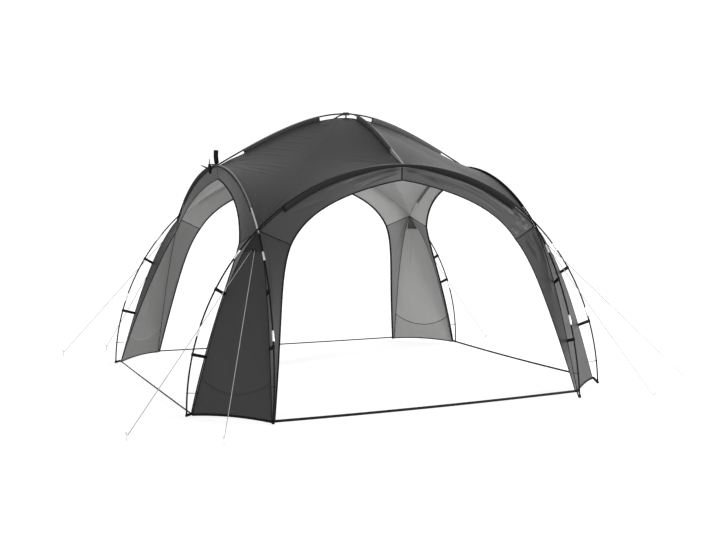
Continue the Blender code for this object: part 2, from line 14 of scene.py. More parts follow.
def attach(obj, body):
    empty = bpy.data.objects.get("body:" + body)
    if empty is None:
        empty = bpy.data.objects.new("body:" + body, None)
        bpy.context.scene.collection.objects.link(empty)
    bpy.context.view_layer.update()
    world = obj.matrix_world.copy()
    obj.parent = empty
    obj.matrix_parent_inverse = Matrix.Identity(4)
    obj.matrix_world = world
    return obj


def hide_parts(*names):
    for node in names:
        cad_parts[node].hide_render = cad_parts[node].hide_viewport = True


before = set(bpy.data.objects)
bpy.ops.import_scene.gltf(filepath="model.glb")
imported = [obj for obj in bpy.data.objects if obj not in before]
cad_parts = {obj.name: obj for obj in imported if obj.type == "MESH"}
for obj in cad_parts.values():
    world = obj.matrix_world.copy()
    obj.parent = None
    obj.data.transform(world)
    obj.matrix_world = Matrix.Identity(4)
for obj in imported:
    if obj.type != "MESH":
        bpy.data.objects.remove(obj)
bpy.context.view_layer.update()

# The camera stands where the photograph was taken from: low, off the front left corner,
# with a short telephoto lens. Its place comes from the crossings, the crown and the feet.
CAMERA_PLACE = (-3.95224, -9.58760, 1.80208)
CAMERA_YAW = -0.4017167
CAMERA_PITCH = -0.0836720
CAMERA_ROLL = 0.0030725
CAMERA_LENS = 58.46
CAMERA_SENSOR = 36.0

camera_data = bpy.data.cameras.new("camera")
camera_data.lens = CAMERA_LENS
camera_data.sensor_width = CAMERA_SENSOR
camera_data.clip_end = 500.0
camera = bpy.data.objects.new("camera", camera_data)
bpy.context.scene.collection.objects.link(camera)
looking = Vector((
    -math.sin(CAMERA_YAW) * math.cos(CAMERA_PITCH),
    math.cos(CAMERA_YAW) * math.cos(CAMERA_PITCH),
    math.sin(CAMERA_PITCH),
))
level = Vector((math.cos(CAMERA_YAW), math.sin(CAMERA_YAW), 0.0))
above = level.cross(looking)
right = level * math.cos(CAMERA_ROLL) + above * math.sin(CAMERA_ROLL)
upright = above * math.cos(CAMERA_ROLL) - level * math.sin(CAMERA_ROLL)
turned = Matrix((right, upright, -looking)).transposed().to_4x4()
camera.matrix_world = Matrix.Translation(CAMERA_PLACE) @ turned
bpy.context.scene.camera = camera
bpy.context.scene.view_settings.view_transform = "Standard"


# Roof: four quarters of coated polyester, cut to a curve and sewn together under the roof
# poles. Each hangs from the poles by sleeves and is pulled tight between the arches, so it
# takes the form of a film between its four seams.
SIDES = ("front", "right", "back", "left")
CORNERS = ("front_left", "front_right", "back_right", "back_left")
ARCH_HALF_SPAN = 1.80
ARCH_RISE = 1.86
ARCH_PLANE_AT_FOOT = 1.303
ARCH_PLANE_LEAN = 0.109
CROSSING_OFFSET = 0.0052
CROWN_HEIGHT = 2.318
CROWN_FLATNESS = 0.70
CLOTH_INSIDE_POLE = 0.0145
FIELD_CENTRE = np.array([0.0, 0.0, 0.40])
HANG_AT_CROWN = 0.037
HANG_UNDER_SLEEVE = 0.040
HANG_AT_APEX = 0.028
CROWN_HANG_SHARE = 0.20
APEX_HANG_START = 0.80
APEX_HANG_SHARE = 0.12
FILM_SHARE = 0.70
ROOF_CELLS = 48
CLOTH_THICKNESS = 0.0012
CLOTH_SPECULAR = 0.20
WEAVE_PITCH = 0.0016
ROOF_REFINED = 3
DIAGONAL_PULL = {"front_left": 0.045, "front_right": 0.025, "back_right": 0.030, "back_left": 0.030}
# Painted shading of each roof quarter's two halves either side of its diagonal: one half painted lighter and the other
# darker, as the two facets catch the light. It is full on the front left quarter and a share of it on the others.
LEFT_HALF_PAINTED_SHADING = (0.10, 0.95)
RIGHT_HALF_PAINTED_SHADING = (-0.50, 0.80)
OTHER_CORNERS_SHADING_SHARE = 0.35


class Wire:
    """A shader socket that can stand in a sum: each operator adds the Math node it names."""

    def __init__(self, tree, socket):
        self.tree = tree
        self.socket = socket

    def math(self, operation, first, second=0.0, clamp=False):
        settings = {"operation": operation, "use_clamp": clamp}
        return node(self.tree, "ShaderNodeMath", settings, {0: first, 1: second})

    def __add__(self, other):
        return self.math("ADD", self, other)

    def __radd__(self, other):
        return self.math("ADD", other, self)

    def __sub__(self, other):
        return self.math("SUBTRACT", self, other)

    def __rsub__(self, other):
        return self.math("SUBTRACT", other, self)

    def __mul__(self, other):
        return self.math("MULTIPLY", self, other)

    def __rmul__(self, other):
        return self.math("MULTIPLY", other, self)

    def __pow__(self, other):
        return self.math("POWER", self, other)


def node(tree, kind, settings=None, values=None, output=0):
    """Adds one node: its settings first, then the values or wires of its sockets."""
    item = tree.nodes.new(kind)
    for key, value in (settings or {}).items():
        if key == "stops":
            ramp = item.color_ramp
            while len(ramp.elements) < len(value):
                ramp.elements.new(0.5)
            for element, (place, colour) in zip(ramp.elements, value):
                element.position = place
                element.color = colour
        else:
            setattr(item, key, value)
    for key, value in (values or {}).items():
        if isinstance(value, Wire):
            tree.links.new(value.socket, item.inputs[key])
        else:
            item.inputs[key].default_value = value
    return Wire(tree, item.outputs[output])


def mix_colours(tree, share, first, second):
    """A Mix node between two colours."""
    settings = {"data_type": "RGBA"}
    return node(tree, "ShaderNodeMix", settings, {0: share, 6: first, 7: second}, output=2)


def noise(tree, place, scale, detail=3.0, roughness=0.5):
    """A noise pattern of the given scale, about 0.5 on average."""
    values = {"Vector": place, "Scale": scale, "Detail": detail, "Roughness": roughness}
    return node(tree, "ShaderNodeTexNoise", {}, values)


def new_material(name):
    """An empty node material with its output. Returns the material, its tree and the output."""
    material = bpy.data.materials.new(name)
    material.use_nodes = True
    tree = material.node_tree
    tree.nodes.clear()
    output = tree.nodes.new("ShaderNodeOutputMaterial")
    return material, tree, output


def weave_height(tree, place, pitch):
    """Height of a plain weave: threads along U where V's wave leads, and along V elsewhere."""
    turns = 2.0 * math.pi / pitch
    parts = tree.nodes.new("ShaderNodeSeparateXYZ")
    tree.links.new(place.socket, parts.inputs[0])
    across = Wire(tree, parts.outputs[0]) * turns
    along = Wire(tree, parts.outputs[1]) * turns
    wave_u = across.math("SINE", across)
    wave_v = along.math("SINE", along)
    return wave_u * wave_v


def cloth_material(name, colour, glow_colour, through, roughness):
    """Coated polyester: fine weave, faint mottling and creases, and some light let through.
    A shading attribute on the mesh paints light and shade into the colour: each panel, the halves of the roof quarters
    and the strip under each arch sleeve are made lighter or darker as they would catch the light."""
    material, tree, output = new_material(name)
    place = node(tree, "ShaderNodeUVMap", {"uv_map": "cut"})
    # Painted light and shade, read from the mesh.
    tone = node(tree, "ShaderNodeAttribute", {"attribute_name": "tone"}, output=2)
    mottle = noise(tree, place, 3.0, 4.0, 0.6)
    streak_place = node(tree, "ShaderNodeMapping", {}, {"Vector": place, "Scale": (9.0, 1.2, 1.0)})
    streaks = noise(tree, streak_place, 2.0, 3.0, 0.55)
    shade = (mottle - 0.5) * 0.20 + (streaks - 0.5) * 0.18 + tone
    darker = tuple(value * 0.5 for value in colour) + (1.0,)
    lighter = tuple(value * 1.5 for value in colour) + (1.0,)
    tint = mix_colours(tree, shade.math("ADD", shade, 0.5, clamp=True), darker, lighter)
    weave = weave_height(tree, place, WEAVE_PITCH)
    creases = noise(tree, place, 7.0, 5.0, 0.6)
    relief = node(tree, "ShaderNodeBump", {}, {
        "Strength": 0.35, "Distance": 0.004, "Height": creases,
    })
    fine = node(tree, "ShaderNodeBump", {}, {
        "Strength": 0.25, "Distance": 0.0002, "Height": weave, "Normal": relief,
    })
    gloss = (mottle - 0.5) * 0.16 + roughness
    body = node(tree, "ShaderNodeBsdfPrincipled", {}, {
        "Base Color": tint, "Roughness": gloss, "Specular IOR Level": CLOTH_SPECULAR, "Normal": fine,
    })
    glow = node(tree, "ShaderNodeBsdfTranslucent", {}, {"Color": (*glow_colour, 1.0)})
    mixed = node(tree, "ShaderNodeMixShader", {}, {0: through, 1: body, 2: glow})
    tree.links.new(mixed.socket, output.inputs["Surface"])
    material.diffuse_color = (*colour, 1.0)
    return material


CLOTH_OUTSIDE = cloth_material("cloth_outside", (0.020, 0.0202, 0.0210), (0.50, 0.50, 0.50), 0.22, 0.42)
CLOTH_INSIDE = cloth_material("cloth_inside", (0.330, 0.330, 0.325), (0.60, 0.60, 0.60), 0.35, 0.60)


def quarter_turn(points, count):
    """Turns points about Z by quarter turns: x and y change places and one changes sign."""
    for _ in range(count % 4):
        points = np.stack([-points[..., 1], points[..., 0], points[..., 2]], axis=-1)
    return points


def swap(points):
    """Mirrors points of the front left corner in its diagonal: x and y change places."""
    return points[..., [1, 0, 2]]


def arch_points(angles, offset):
    """Half an ellipse in a leaning plane: x = A cos a, y = -(P - lean sin a), z = B sin a."""
    angles = np.radians(np.asarray(angles, float))
    sine = np.sin(angles)
    return np.stack([
        (ARCH_HALF_SPAN + offset) * np.cos(angles),
        -(ARCH_PLANE_AT_FOOT + offset - ARCH_PLANE_LEAN * sine),
        (ARCH_RISE + offset) * sine,
    ], axis=-1)


def cloth_arch(angles):
    """The seam between roof and valance, just inside the arch pole."""
    return arch_points(angles, -CLOTH_INSIDE_POLE)


def crossing_angle():
    """The angle at which x equals y on the cloth's arch: where two arches cross."""
    half_span = ARCH_HALF_SPAN - CLOTH_INSIDE_POLE
    reach = math.hypot(half_span, ARCH_PLANE_LEAN)
    tilt = math.atan2(ARCH_PLANE_LEAN, half_span)
    return math.degrees(tilt + math.acos((ARCH_PLANE_AT_FOOT - CLOTH_INSIDE_POLE) / reach))


CROSSING = crossing_angle()


def roof_pole_height(reach):
    """Falls from the crown as a hyperbola: sqrt(flatness^2 + reach^2), scaled to the apex."""
    apex_reach = ARCH_PLANE_AT_FOOT - ARCH_PLANE_LEAN
    fall = np.hypot(CROWN_FLATNESS, reach) - CROWN_FLATNESS
    full_fall = math.hypot(CROWN_FLATNESS, apex_reach) - CROWN_FLATNESS
    return CROWN_HEIGHT - (CROWN_HEIGHT - ARCH_RISE) * fall / full_fall


def smooth_step(value):
    """3t^2 - 2t^3 between 0 and 1, flat outside."""
    value = np.clip(value, 0.0, 1.0)
    return value * value * (3.0 - 2.0 * value)


def roof_seam(share):
    """The seam under the front roof pole: the pole's curve less the depth it hangs by."""
    share = np.asarray(share, float)
    apex = cloth_arch(90.0)
    reach = -apex[1] * share
    past_sleeve = share - APEX_HANG_START
    hang = HANG_UNDER_SLEEVE
    hang = hang + (HANG_AT_CROWN - HANG_UNDER_SLEEVE) * (1.0 - smooth_step(share / CROWN_HANG_SHARE))
    hang = hang + (HANG_AT_APEX - HANG_UNDER_SLEEVE) * smooth_step(past_sleeve / APEX_HANG_SHARE)
    step = apex[2] - roof_pole_height(-apex[1]) + HANG_AT_APEX
    height = roof_pole_height(reach) - hang
    height = height + step * smooth_step(past_sleeve / (1.0 - APEX_HANG_START))
    return np.stack([np.zeros_like(reach), -reach, height], axis=-1)


def roof_surface(cells):
    """Coons patch of two roof seams and two arches, 70 % relaxed to a soap film.

    The film solves the mean-value equations of the inner points for its fixed boundary.
    """
    v, u = np.meshgrid(*[np.linspace(0.0, 1.0, cells + 1)] * 2, indexing="ij")
    u_, v_ = u[..., None], v[..., None]
    turn = 90.0 - CROSSING
    ruled = roof_seam(u) * (1.0 - v_) + swap(cloth_arch(90.0 + turn * u)) * v_
    ruled = ruled + swap(roof_seam(v)) * (1.0 - u_) + cloth_arch(90.0 + turn * v) * u_
    crown = roof_seam(0.0)
    apex = cloth_arch(90.0)
    corner = cloth_arch(180.0 - CROSSING)
    plane = crown * (1.0 - u_) * (1.0 - v_) + apex * u_ * (1.0 - v_)
    plane = plane + swap(apex) * (1.0 - u_) * v_ + corner * u_ * v_
    bridge = ruled - plane
    inner = cells - 1
    line = 2.0 * np.eye(inner) - np.eye(inner, k=1) - np.eye(inner, k=-1)
    equations = np.kron(line, np.eye(inner)) + np.kron(np.eye(inner), line)
    known = np.zeros((inner, inner, 3))
    known[0] += bridge[0, 1:-1]
    known[-1] += bridge[-1, 1:-1]
    known[:, 0] += bridge[1:-1, 0]
    known[:, -1] += bridge[1:-1, -1]
    film = bridge.copy()
    film[1:-1, 1:-1] = np.linalg.solve(equations, known.reshape(-1, 3)).reshape(inner, inner, 3)
    return bridge + (film - bridge) * FILM_SHARE


def outward_normals(points):
    """Cross product of the two grid directions, turned away from the field's centre."""
    along = np.gradient(points, axis=0)
    across = np.gradient(points, axis=1)
    normals = np.cross(across, along)
    normals /= np.maximum(np.linalg.norm(normals, axis=-1, keepdims=True), 1e-9)
    facing = np.sum(normals * (points - FIELD_CENTRE), axis=-1)
    return normals * (1.0 if facing.mean() > 0.0 else -1.0)


def folded(points, folds):
    """Raises a ridge along each fold: height times exp(-(distance / width)^2), fading
    towards both ends and the panel's edges. A fold is (u0, v0, u1, v1, width, height):
    shares of the columns and rows, then metres."""
    rows, columns = points.shape[:2]
    width = np.linalg.norm(np.diff(points, axis=1), axis=-1).sum(axis=1).mean()
    length = np.linalg.norm(np.diff(points, axis=0), axis=-1).sum(axis=0).mean()
    v, u = np.meshgrid(np.linspace(0.0, 1.0, rows), np.linspace(0.0, 1.0, columns), indexing="ij")
    inside = np.minimum(np.minimum(u, 1.0 - u) * width, np.minimum(v, 1.0 - v) * length)
    rise = np.zeros(points.shape[:2])
    for u0, v0, u1, v1, half_width, height in folds:
        run = np.array([(u1 - u0) * width, (v1 - v0) * length])
        size = np.linalg.norm(run)
        x, y = (u - u0) * width, (v - v0) * length
        along = (x * run[0] + y * run[1]) / size ** 2
        away = (x * run[1] - y * run[0]) / size
        ends = smooth_step(along * 5.0) * smooth_step((1.0 - along) * 2.5)
        rise += height * np.exp(-(away / half_width) ** 2) * ends
    rise *= smooth_step(inside / 0.02)
    return points + outward_normals(points) * rise[..., None]


def fan(seed, count, anchor, spread, reach, half_width, height):
    """Seeded folds that leave an anchor (u, v) between two angles, as cloth pulls."""
    draw = np.random.default_rng(seed)
    angles = np.radians(draw.uniform(*spread, count))
    near, far = draw.uniform(0.02, 0.25, count) * reach, draw.uniform(0.55, 1.0, count) * reach
    sizes = draw.uniform(0.6, 1.3, count)
    direction = np.stack([np.cos(angles), np.sin(angles)], axis=-1)
    start = np.array(anchor) + direction * near[:, None]
    end = np.array(anchor) + direction * far[:, None]
    signs = draw.choice([-1.0, 1.0], count)
    return np.column_stack([start, end, half_width * sizes, height * sizes * signs])


def cut_of(points):
    """Lays a grid out flat: U is the length across each row, V the length along it."""
    across = np.linalg.norm(np.diff(points, axis=1), axis=-1)
    along = np.linalg.norm(np.diff(points, axis=0), axis=-1)
    u = np.concatenate([np.zeros((points.shape[0], 1)), np.cumsum(across, axis=1)], axis=1)
    v = np.concatenate([np.zeros((1, points.shape[1])), np.cumsum(along, axis=0)], axis=0)
    return np.stack([u - u.mean(axis=1, keepdims=True), v], axis=-1)


def mesh_object(name, vertices, faces, materials):
    """A smooth mesh object at the origin from arrays of points and quads."""
    data = bpy.data.meshes.new(name)
    data.from_pydata(vertices.tolist(), [], faces)
    for material in materials:
        data.materials.append(material)
    data.polygons.foreach_set("use_smooth", np.ones(len(data.polygons), bool))
    data.update()
    item = bpy.data.objects.new(name, data)
    bpy.context.scene.collection.objects.link(item)
    return item


def grid_faces(rows, columns):
    """Quads between neighbouring points of a rows by columns grid."""
    index = np.arange(rows * columns).reshape(rows, columns)
    corners = (index[:-1, :-1], index[:-1, 1:], index[1:, 1:], index[1:, :-1])
    return np.stack(corners, axis=-1).reshape(-1, 4)


def cloth_panel(name, points, replaces, tone):
    """A sewn panel from a grid of points on its outer face, with a coated inner face."""
    rows, columns = points.shape[:2]
    faces = grid_faces(rows, columns)
    flat_points = points.reshape(-1, 3)
    first = flat_points[faces]
    facing = np.cross(first[:, 1] - first[:, 0], first[:, 3] - first[:, 0])
    if np.sum(facing * (first.mean(axis=1) - FIELD_CENTRE)) < 0.0:
        faces = faces[:, ::-1]
    item = mesh_object(name, flat_points, faces.tolist(), (CLOTH_OUTSIDE, CLOTH_INSIDE))
    cut = cut_of(points)
    layer = item.data.uv_layers.new(name="cut")
    layer.data.foreach_set("uv", cut.reshape(-1, 2)[faces.ravel()].ravel())
    # Painted light and shade for the panel, stored on its points.
    tone = np.broadcast_to(tone, (rows, columns)).ravel()
    item.data.attributes.new("tone", "FLOAT", "POINT").data.foreach_set("value", tone)
    shell = item.modifiers.new("thickness", "SOLIDIFY")
    shell.thickness = CLOTH_THICKNESS
    shell.offset = -1.0
    shell.material_offset = 1
    diagonals = np.cross(first[:, 2] - first[:, 0], first[:, 3] - first[:, 1])
    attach(item, "root")
    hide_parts(replaces)
    return item


def refined(points, times):
    """Puts more points on a grid by Catmull-Rom cubics along its rows and columns."""
    for axis in (0, 1):
        count = points.shape[axis]
        place = np.linspace(0.0, count - 1.0, (count - 1) * times + 1)
        left = np.minimum(place.astype(int), count - 2)
        t = place - left
        weights = (-t / 2 + t ** 2 - t ** 3 / 2, 1 - 2.5 * t ** 2 + 1.5 * t ** 3,
                   t / 2 + 2 * t ** 2 - 1.5 * t ** 3, -t ** 2 / 2 + t ** 3 / 2)
        before = 2.0 * np.take(points, [0], axis) - np.take(points, [1], axis)
        after = 2.0 * np.take(points, [-1], axis) - np.take(points, [-2], axis)
        wide = np.concatenate([before, points, after], axis=axis)
        shape = (-1, 1, 1) if axis == 0 else (1, -1, 1)
        points = sum(np.take(wide, left + step, axis) * weights[step].reshape(shape) for step in range(4))
    return points


def pulled_in(points, pull):
    """Tension from crown to crossing draws the diagonal in: pull (1 - |u - v| / its most).
    Also gives painted shading for the two halves: a + b |u - v| on either side of the diagonal, light and shade painted
    into the colour as the two facets would catch the light."""
    rows, columns = points.shape[:2]
    v, u = np.meshgrid(np.linspace(0.0, 1.0, rows), np.linspace(0.0, 1.0, columns), indexing="ij")
    most = np.maximum(1.0 - np.abs(u + v - 1.0), 1e-6)
    depth = pull * (1.0 - np.abs(u - v) / most) * np.sin(np.pi * (u + v) / 2.0)
    left = np.clip((v - u) * 30.0, -0.5, 0.5) + 0.5
    tone = left * (LEFT_HALF_PAINTED_SHADING[0] + LEFT_HALF_PAINTED_SHADING[1] * (v - u))
    tone += (1.0 - left) * (RIGHT_HALF_PAINTED_SHADING[0] + RIGHT_HALF_PAINTED_SHADING[1] * (u - v))
    return points - outward_normals(points) * depth[..., None], tone


# Folds seen in the photograph: level pleats from the left apex and along the left rib.
FRONT_LEFT_FOLDS = (
    (0.10, 0.93, 0.58, 0.60, 0.010, 0.0032), (0.16, 0.94, 0.55, 0.70, 0.009, 0.0024),
    (0.28, 0.92, 0.60, 0.72, 0.010, 0.0020), (0.02, 0.80, 0.42, 0.53, 0.010, 0.0019),
    (0.02, 0.70, 0.40, 0.46, 0.010, 0.0019), (0.02, 0.60, 0.33, 0.38, 0.009, 0.0021),
    (0.02, 0.50, 0.28, 0.31, 0.009, 0.0019), (0.02, 0.40, 0.20, 0.24, 0.009, 0.0018),
    (0.03, 0.25, 0.12, 0.14, 0.008, 0.0016),
)
roof = refined(roof_surface(ROOF_CELLS), ROOF_REFINED)
for count, corner in enumerate(CORNERS):
    pleats = [
        fan(10 + count, 7, (0.0, 0.0), (8.0, 82.0), 0.55, 0.012, 0.0016),
        fan(20 + count, 6, (1.0, 0.0), (100.0, 170.0), 0.50, 0.014, 0.0018),
        fan(30 + count, 6, (0.0, 1.0), (-80.0, -10.0), 0.50, 0.014, 0.0018),
        fan(40 + count, 7, (1.0, 1.0), (188.0, 262.0), 0.45, 0.012, 0.0022),
    ]
    if corner == "front_left":
        pleats.append(np.array(FRONT_LEFT_FOLDS))
    drawn, roof_painted_shading = pulled_in(roof, DIAGONAL_PULL[corner])
    panel = folded(quarter_turn(drawn, count), np.concatenate(pleats))
    # The painted shading of the halves is full on the front left quarter and weaker on the others.
    strength = 1.0 if corner == "front_left" else OTHER_CORNERS_SHADING_SHARE
    cloth_panel(f"roof_{corner}", panel, f"roof_panel_{corner}", roof_painted_shading * strength)


# Valances: the band of the same cloth between each arch and the top of its doorway, cut
# in two halves that meet in a short seam at the apex and pulled into long diagonal folds.
OPENING_TOP = 1.745
OPENING_HALF_WIDTH = 1.281
OPENING_TAPER = 0.185
OPENING_SQUARENESS = 8.0
OPENING_ROUNDNESS = 1.15
OPENING_POINT_SPACING = 1.3
SHOULDER_HEIGHT = 1.256
EDGE_DEPTH_AT_FOOT = 1.762
EDGE_DEPTH_AT_SHOULDER = 1.290
EDGE_DEPTH_AT_TOP = 1.171
EDGE_BOW = 0.030
# Painted shade in the strip under each arch sleeve, and painted shading over the rest of each valance: painted light on
# the front and right, painted shade on the back and left.
SLEEVE_SHADE = {"front": 0.15, "right": 0.50, "back": 0.15, "left": 0.15}
VALANCE_PAINTED_SHADING = {"front": 0.50, "right": 0.50, "back": -0.05, "left": -0.35}
VALANCE_COLUMNS = 260
VALANCE_ROWS = 28


def opening_half_width(height):
    """A taper times a squared off round top: (w - t h)(1 - (h / top)^8)^(1 / 1.15)."""
    taper = OPENING_HALF_WIDTH - OPENING_TAPER * height
    ratio = np.clip(height / OPENING_TOP, 0.0, 1.0)
    return taper * (1.0 - ratio ** OPENING_SQUARENESS) ** (1.0 / OPENING_ROUNDNESS)


def opening_depth(height):
    """Straight from foot to shoulder with a slight bow, then straight to the top."""
    low = height / SHOULDER_HEIGHT
    leg = EDGE_DEPTH_AT_FOOT + (EDGE_DEPTH_AT_SHOULDER - EDGE_DEPTH_AT_FOOT) * low
    leg = leg + EDGE_BOW * 4.0 * low * (1.0 - low)
    high = (height - SHOULDER_HEIGHT) / (OPENING_TOP - SHOULDER_HEIGHT)
    top = EDGE_DEPTH_AT_SHOULDER + (EDGE_DEPTH_AT_TOP - EDGE_DEPTH_AT_SHOULDER) * high
    return np.where(height < SHOULDER_HEIGHT, leg, top)


def opening_top(share):
    """The doorway's edge from the left shoulder (-1) over the apex to the right (1)."""
    share = np.asarray(share, float)
    fall = (OPENING_TOP - SHOULDER_HEIGHT) * np.abs(share) ** OPENING_POINT_SPACING
    height = OPENING_TOP - fall
    across = np.sign(share) * opening_half_width(height)
    return np.stack([across, -opening_depth(height), height], axis=-1)


def valance_surface(columns, rows):
    """Straight lines from the arch's seam to the doorway's edge."""
    v, u = np.meshgrid(np.linspace(0.0, 1.0, rows + 1), np.linspace(-1.0, 1.0, columns + 1), indexing="ij")
    arch = cloth_arch(90.0 - (90.0 - CROSSING) * u)
    return arch + (opening_top(u) - arch) * v[..., None]


# Long pleats from the apex of the front valance, and creases where it meets the right corner.
FRONT_VALANCE_FOLDS = (
    (0.497, 0.08, 0.300, 0.40, 0.008, -0.0080), (0.497, 0.25, 0.330, 0.62, 0.008, 0.0060),
    (0.490, 0.45, 0.360, 0.85, 0.008, -0.0050), (0.46, 0.10, 0.20, 0.30, 0.009, 0.0045),
    (0.503, 0.08, 0.735, 0.28, 0.009, 0.0065), (0.503, 0.22, 0.640, 0.75, 0.009, -0.0085),
    (0.503, 0.35, 0.700, 0.62, 0.008, 0.0060), (0.56, 0.15, 0.86, 0.35, 0.009, -0.0050),
    (0.62, 0.55, 0.90, 0.70, 0.011, 0.0040), (0.10, 0.30, 0.26, 0.75, 0.011, -0.0035),
)
FRONT_VALANCE_CREASES = np.concatenate([
    fan(71, 9, (1.0, 0.10), (95.0, 178.0), 0.35, 0.009, 0.0060),
    np.array([(0.995, 0.30, 0.935, 0.20, 0.011, 0.0110), (0.990, 0.60, 0.940, 0.45, 0.009, -0.0070),
              (0.985, 0.75, 0.925, 0.80, 0.009, 0.0060)]),
])
for count, side in enumerate(SIDES):
    pleats = [
        fan(50 + count, 6, (0.5, 0.0), (15.0, 60.0), 0.30, 0.010, 0.0018),
        fan(55 + count, 6, (0.5, 0.0), (120.0, 165.0), 0.30, 0.010, 0.0018),
        fan(60 + count, 5, (0.0, 0.0), (10.0, 75.0), 0.22, 0.010, 0.0022),
        fan(65 + count, 5, (1.0, 0.0), (105.0, 170.0), 0.22, 0.010, 0.0022),
    ]
    if side == "front":
        pleats += [np.array(FRONT_VALANCE_FOLDS), FRONT_VALANCE_CREASES]
    panel = quarter_turn(valance_surface(VALANCE_COLUMNS, VALANCE_ROWS), count)
    row, column = np.meshgrid(
        np.linspace(0.0, 1.0, VALANCE_ROWS + 1), np.linspace(-1.0, 1.0, VALANCE_COLUMNS + 1), indexing="ij")
    below_seam = row * np.linalg.norm(panel[-1] - panel[0], axis=-1)
    under_sleeve = 0.034 * smooth_step(np.abs(column) / 0.3) * (np.abs(column) < 0.84)
    loose = smooth_step((below_seam - under_sleeve) / 0.02)
    panel = panel + (folded(panel, np.concatenate(pleats)) - panel) * loose[..., None]
    # The strip under the sleeve gets painted shade, and the rest gets its side's painted shading.
    sleeve_shadow_strip = (np.abs(column) < 0.83) & (below_seam < 0.034)
    cloth_panel(
        f"valance_cloth_{side}", panel, f"valance_{side}",
        np.where(sleeve_shadow_strip, -SLEEVE_SHADE[side], VALANCE_PAINTED_SHADING[side]))


# Corner panels and wings: at each corner one long panel fills the space between two legs,
# and a narrow wing on either side of it runs to the doorway. Their seams bow out to the
# poles, and the bottom of the long panel is a separate piece, joined in a curved seam.
SEAM_FOOT_HALF = 1.296
SEAM_BOW = 0.085
SEAM_BOW_SKEW = 0.65
HEM_LIFT = {"front_left": 0.006, "front_right": 0.045, "back_right": 0.015, "back_left": 0.012}
HEM_ARCH = 0.018
HEM_ARCH_START = 0.6
LEG_ROWS = 150
WING_COLUMNS = 26
CORNER_COLUMNS = 52
CORNER_TOP_SHARE = 0.002
LOWER_SEAM_SHARE = 0.795
LOWER_SEAM_DIP = 0.085
# Painted shading of the wings and long panels at each corner, lighter or darker as they catch the light. The lower
# piece of each long panel is made a little darker.
FLAP_TONE = 0.12
WING_PAINTED_SHADING = {"front_left": 0.0, "front_right": 0.50, "back_right": -0.50, "back_left": -0.40}
CORNER_PAINTED_SHADING = {"front_left": -0.10, "front_right": 0.15, "back_right": 0.12, "back_left": -0.45}


def corner_seam(share, lift):
    """A line from the crossing to the foot of the front side, bowed towards the pole."""
    share = np.asarray(share, float)
    top = cloth_arch(180.0 - CROSSING)
    foot = np.array([-SEAM_FOOT_HALF, -EDGE_DEPTH_AT_FOOT, lift])
    points = top + (foot - top) * share[..., None]
    points[..., 1] -= SEAM_BOW * np.sin(np.pi * share ** SEAM_BOW_SKEW)
    return points


def opening_leg(share, lift):
    """The doorway's left edge from the shoulder (0) to the foot (1)."""
    share = np.asarray(share, float)
    height = SHOULDER_HEIGHT * (1.0 - share)
    return np.stack([-opening_half_width(height), -opening_depth(height), height + lift * share], axis=-1)


def wing_surface(lift):
    """Straight lines across from the corner's seam to the doorway's edge."""
    share, across = np.meshgrid(
        np.linspace(0.0, 1.0, LEG_ROWS + 1), np.linspace(0.0, 1.0, WING_COLUMNS + 1), indexing="ij")
    seam = corner_seam(share, lift)
    return seam + (opening_leg(share, lift) - seam) * across[..., None]


def corner_points(across, share, lift):
    """Straight lines between the two seams, the hem arched up in the middle."""
    seam = corner_seam(share, lift)
    other = swap(seam)
    points = other + (seam - other) * across[..., None]
    near_hem = np.clip(share - HEM_ARCH_START, 0.0, 1.0) / (1.0 - HEM_ARCH_START)
    points[..., 2] += HEM_ARCH * 4.0 * across * (1.0 - across) * near_hem
    return points


# Pleats of the wings and long panels. The front right corner is creased hard under its
# crossing, and the back right one has slack in the wing beside the back doorway.
WING_FOLDS = {
    ("front_right", "front"): (
        (0.62, 0.03, 0.45, 0.20, 0.008, 0.0100), (0.75, 0.02, 0.60, 0.16, 0.008, -0.0070),
        (0.30, 0.01, 0.22, 0.16, 0.007, -0.0085), (0.18, 0.02, 0.12, 0.30, 0.007, 0.0085),
        (0.45, 0.02, 0.32, 0.12, 0.006, 0.0065), (0.08, 0.05, 0.30, 0.45, 0.010, 0.0060),
    ),
    ("back_right", "back"): (
        (0.05, 0.02, 0.45, 0.18, 0.010, -0.0060), (0.45, 0.16, 0.75, 0.30, 0.011, -0.0060),
        (0.03, 0.03, 0.22, 0.28, 0.008, 0.0050), (0.20, 0.22, 0.12, 0.55, 0.010, -0.0050),
        (0.55, 0.25, 0.35, 0.60, 0.012, 0.0040),
    ),
}
CORNER_FOLDS = {
    "front_right": (
        (0.95, 0.02, 0.80, 0.16, 0.007, 0.0080), (0.75, 0.02, 0.62, 0.12, 0.006, -0.0065),
        (0.50, 0.01, 0.45, 0.20, 0.008, 0.0070), (0.25, 0.02, 0.33, 0.18, 0.007, -0.0065),
        (0.10, 0.03, 0.22, 0.30, 0.008, 0.0060), (0.85, 0.12, 0.60, 0.35, 0.010, -0.0050),
        (0.40, 0.15, 0.30, 0.50, 0.014, 0.0040),
    ),
}
